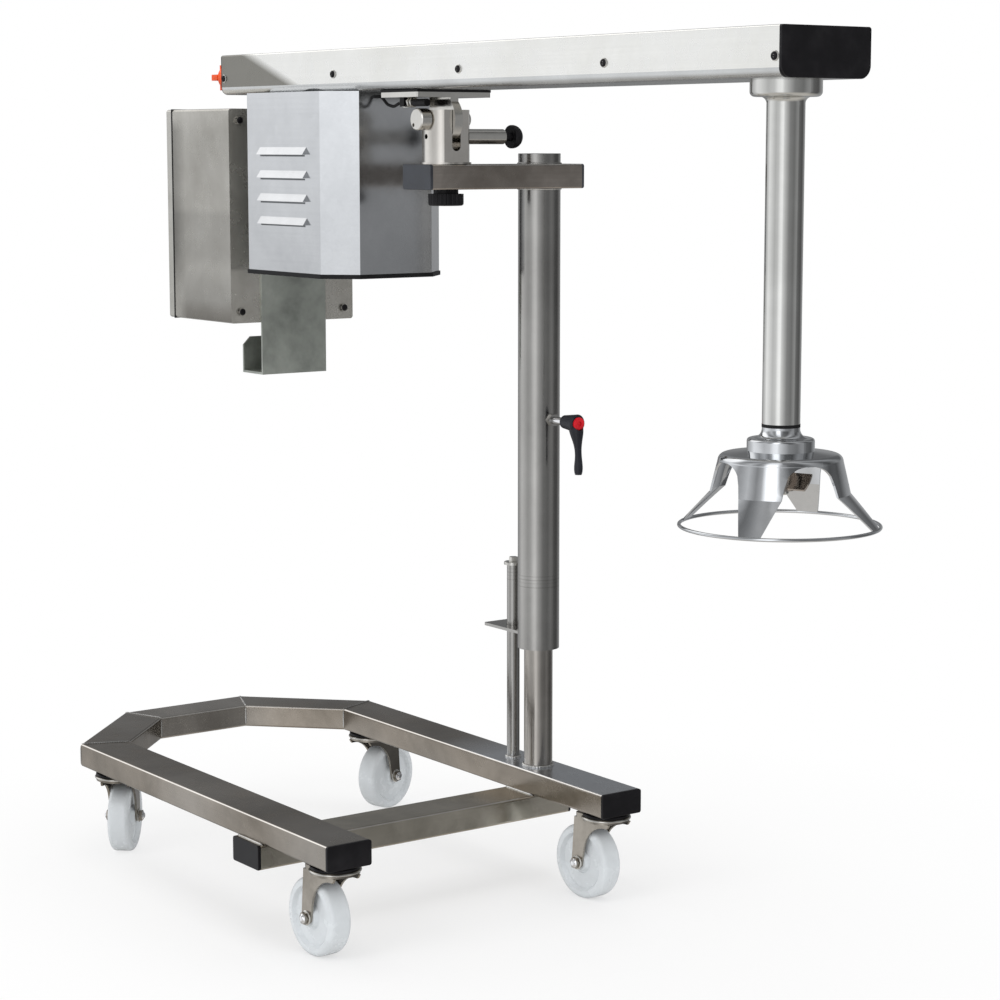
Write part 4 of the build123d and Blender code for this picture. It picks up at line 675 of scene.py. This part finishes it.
# ---------------------------------------------------------------- world
# The camera sees plain white. Metal sees the studio: a white room with soft strip lights
# and a few darker walls. Each ramp gives (compass direction in degrees, brightness), for
# the walls low down, the walls higher up and the ceiling.
LOW = [(-180, 0.50), (-163, 0.68), (-145, 1.00), (-128, 0.90), (-100, 0.62), (-80, 0.72), (-66, 1.10),
       (-54, 1.18), (-46, 0.80), (-36, 0.60), (-14, 0.28), (15, 0.20), (30, 0.30), (40, 0.33), (55, 0.14),
       (80, 0.10), (100, 0.30), (125, 0.38), (145, 0.20), (165, 0.34), (180, 0.50)]
HIGH = [(-180, 0.42), (-150, 0.85), (-122, 0.35), (-100, 0.62), (-84, 0.30), (-74, 0.50), (-64, 1.75),
        (-50, 1.75), (-42, 0.50), (-26, 0.14), (0, 0.10), (22, 0.34), (38, 0.30), (60, 0.08), (90, 0.30),
        (110, 0.12), (140, 0.16), (165, 0.34), (180, 0.42)]
CEIL = [(-180, 0.25), (-152, 0.75), (-128, 0.18), (-98, 0.45), (-84, 0.30), (-70, 0.95), (-48, 1.05),
        (-34, 0.22), (0, 0.14), (26, 0.52), (44, 0.30), (62, 0.12), (95, 0.45), (120, 0.14), (150, 0.30),
        (180, 0.25)]
ZENITH = (0.42, 0.42, 0.42)
FLOOR_TONE = (0.58, 0.56, 0.53)
SOFT_BOX_AT, SOFT_BOX = (-0.82, -0.22, 0.53), (1.35, 1.35, 1.35)
AMBIENT = (0.78, 0.78, 0.78)

world = bpy.data.worlds.new("studio")
bpy.context.scene.world = world
world.use_nodes = True
wn = world.node_tree
bg = wn.nodes["Background"]
bg.inputs["Strength"].default_value = 1.0
tc = wn.nodes.new("ShaderNodeTexCoord")
sep = wn.nodes.new("ShaderNodeSeparateXYZ")
wn.links.new(tc.outputs["Generated"], sep.inputs["Vector"])
height = sep.outputs["Z"]
compass = chain(wn, "ARCTAN2", sep.outputs["Y"], sep.outputs["X"])
compass = chain(wn, "DIVIDE", chain(wn, "ADD", compass, math.pi), 2 * math.pi)


def wall_ramp(stops):
    return ramp(wn, compass, [((deg + 180) / 360, (v * 0.985, v, v * 1.02)) for deg, v in stops])


aim = wn.nodes.new("ShaderNodeVectorMath")
aim.operation = "DOT_PRODUCT"
wn.links.new(tc.outputs["Generated"], aim.inputs[0])
aim.inputs[1].default_value = SOFT_BOX_AT
room = mixc(wn, remap(wn, height, 0, 1, 0.10, 0.24), wall_ramp(LOW), wall_ramp(HIGH))
room = mixc(wn, remap(wn, height, 0, 1, 0.50, 0.85), room, wall_ramp(CEIL))
room = mixc(wn, remap(wn, height, 0, 1, 0.92, 0.985), room, ZENITH)
room = mixc(wn, remap(wn, aim.outputs["Value"], 0.0, 1.0, 0.90, 0.965), room, SOFT_BOX)
room = mixc(wn, remap(wn, height, 1, 0, -0.80, -0.40), room, FLOOR_TONE)
lp = wn.nodes.new("ShaderNodeLightPath")
col = mixc(wn, lp.outputs["Is Glossy Ray"], AMBIENT, room)
clear = chain(wn, "MAXIMUM", lp.outputs["Is Camera Ray"], lp.outputs["Is Transmission Ray"])
wn.links.new(mixc(wn, clear, col, (1.0, 1.0, 1.0)), bg.inputs["Color"])


# ---------------------------------------------------------------- lamps
def area(name, loc, target, size, power):
    d = bpy.data.lights.new(name, "AREA")
    d.shape = "RECTANGLE"
    d.size, d.size_y = size
    d.energy = power
    o = bpy.data.objects.new(name, d)
    o.location = loc
    o.rotation_euler = (Vector(target) - Vector(loc)).to_track_quat("-Z", "Y").to_euler()
    o.visible_glossy = False
    bpy.context.scene.collection.objects.link(o)


area("key", (0.5, -4.5, 3.2), (0, 0, 0.8), (2.4, 2.4), 60)
area("fill", (5.0, 0.5, 2.2), (0, 0, 0.9), (1.2, 3.0), 25)
area("top", (0, 0, 4.2), (0, 0, 0), (3.5, 2.5), 40)

bpy.context.view_layer.update()
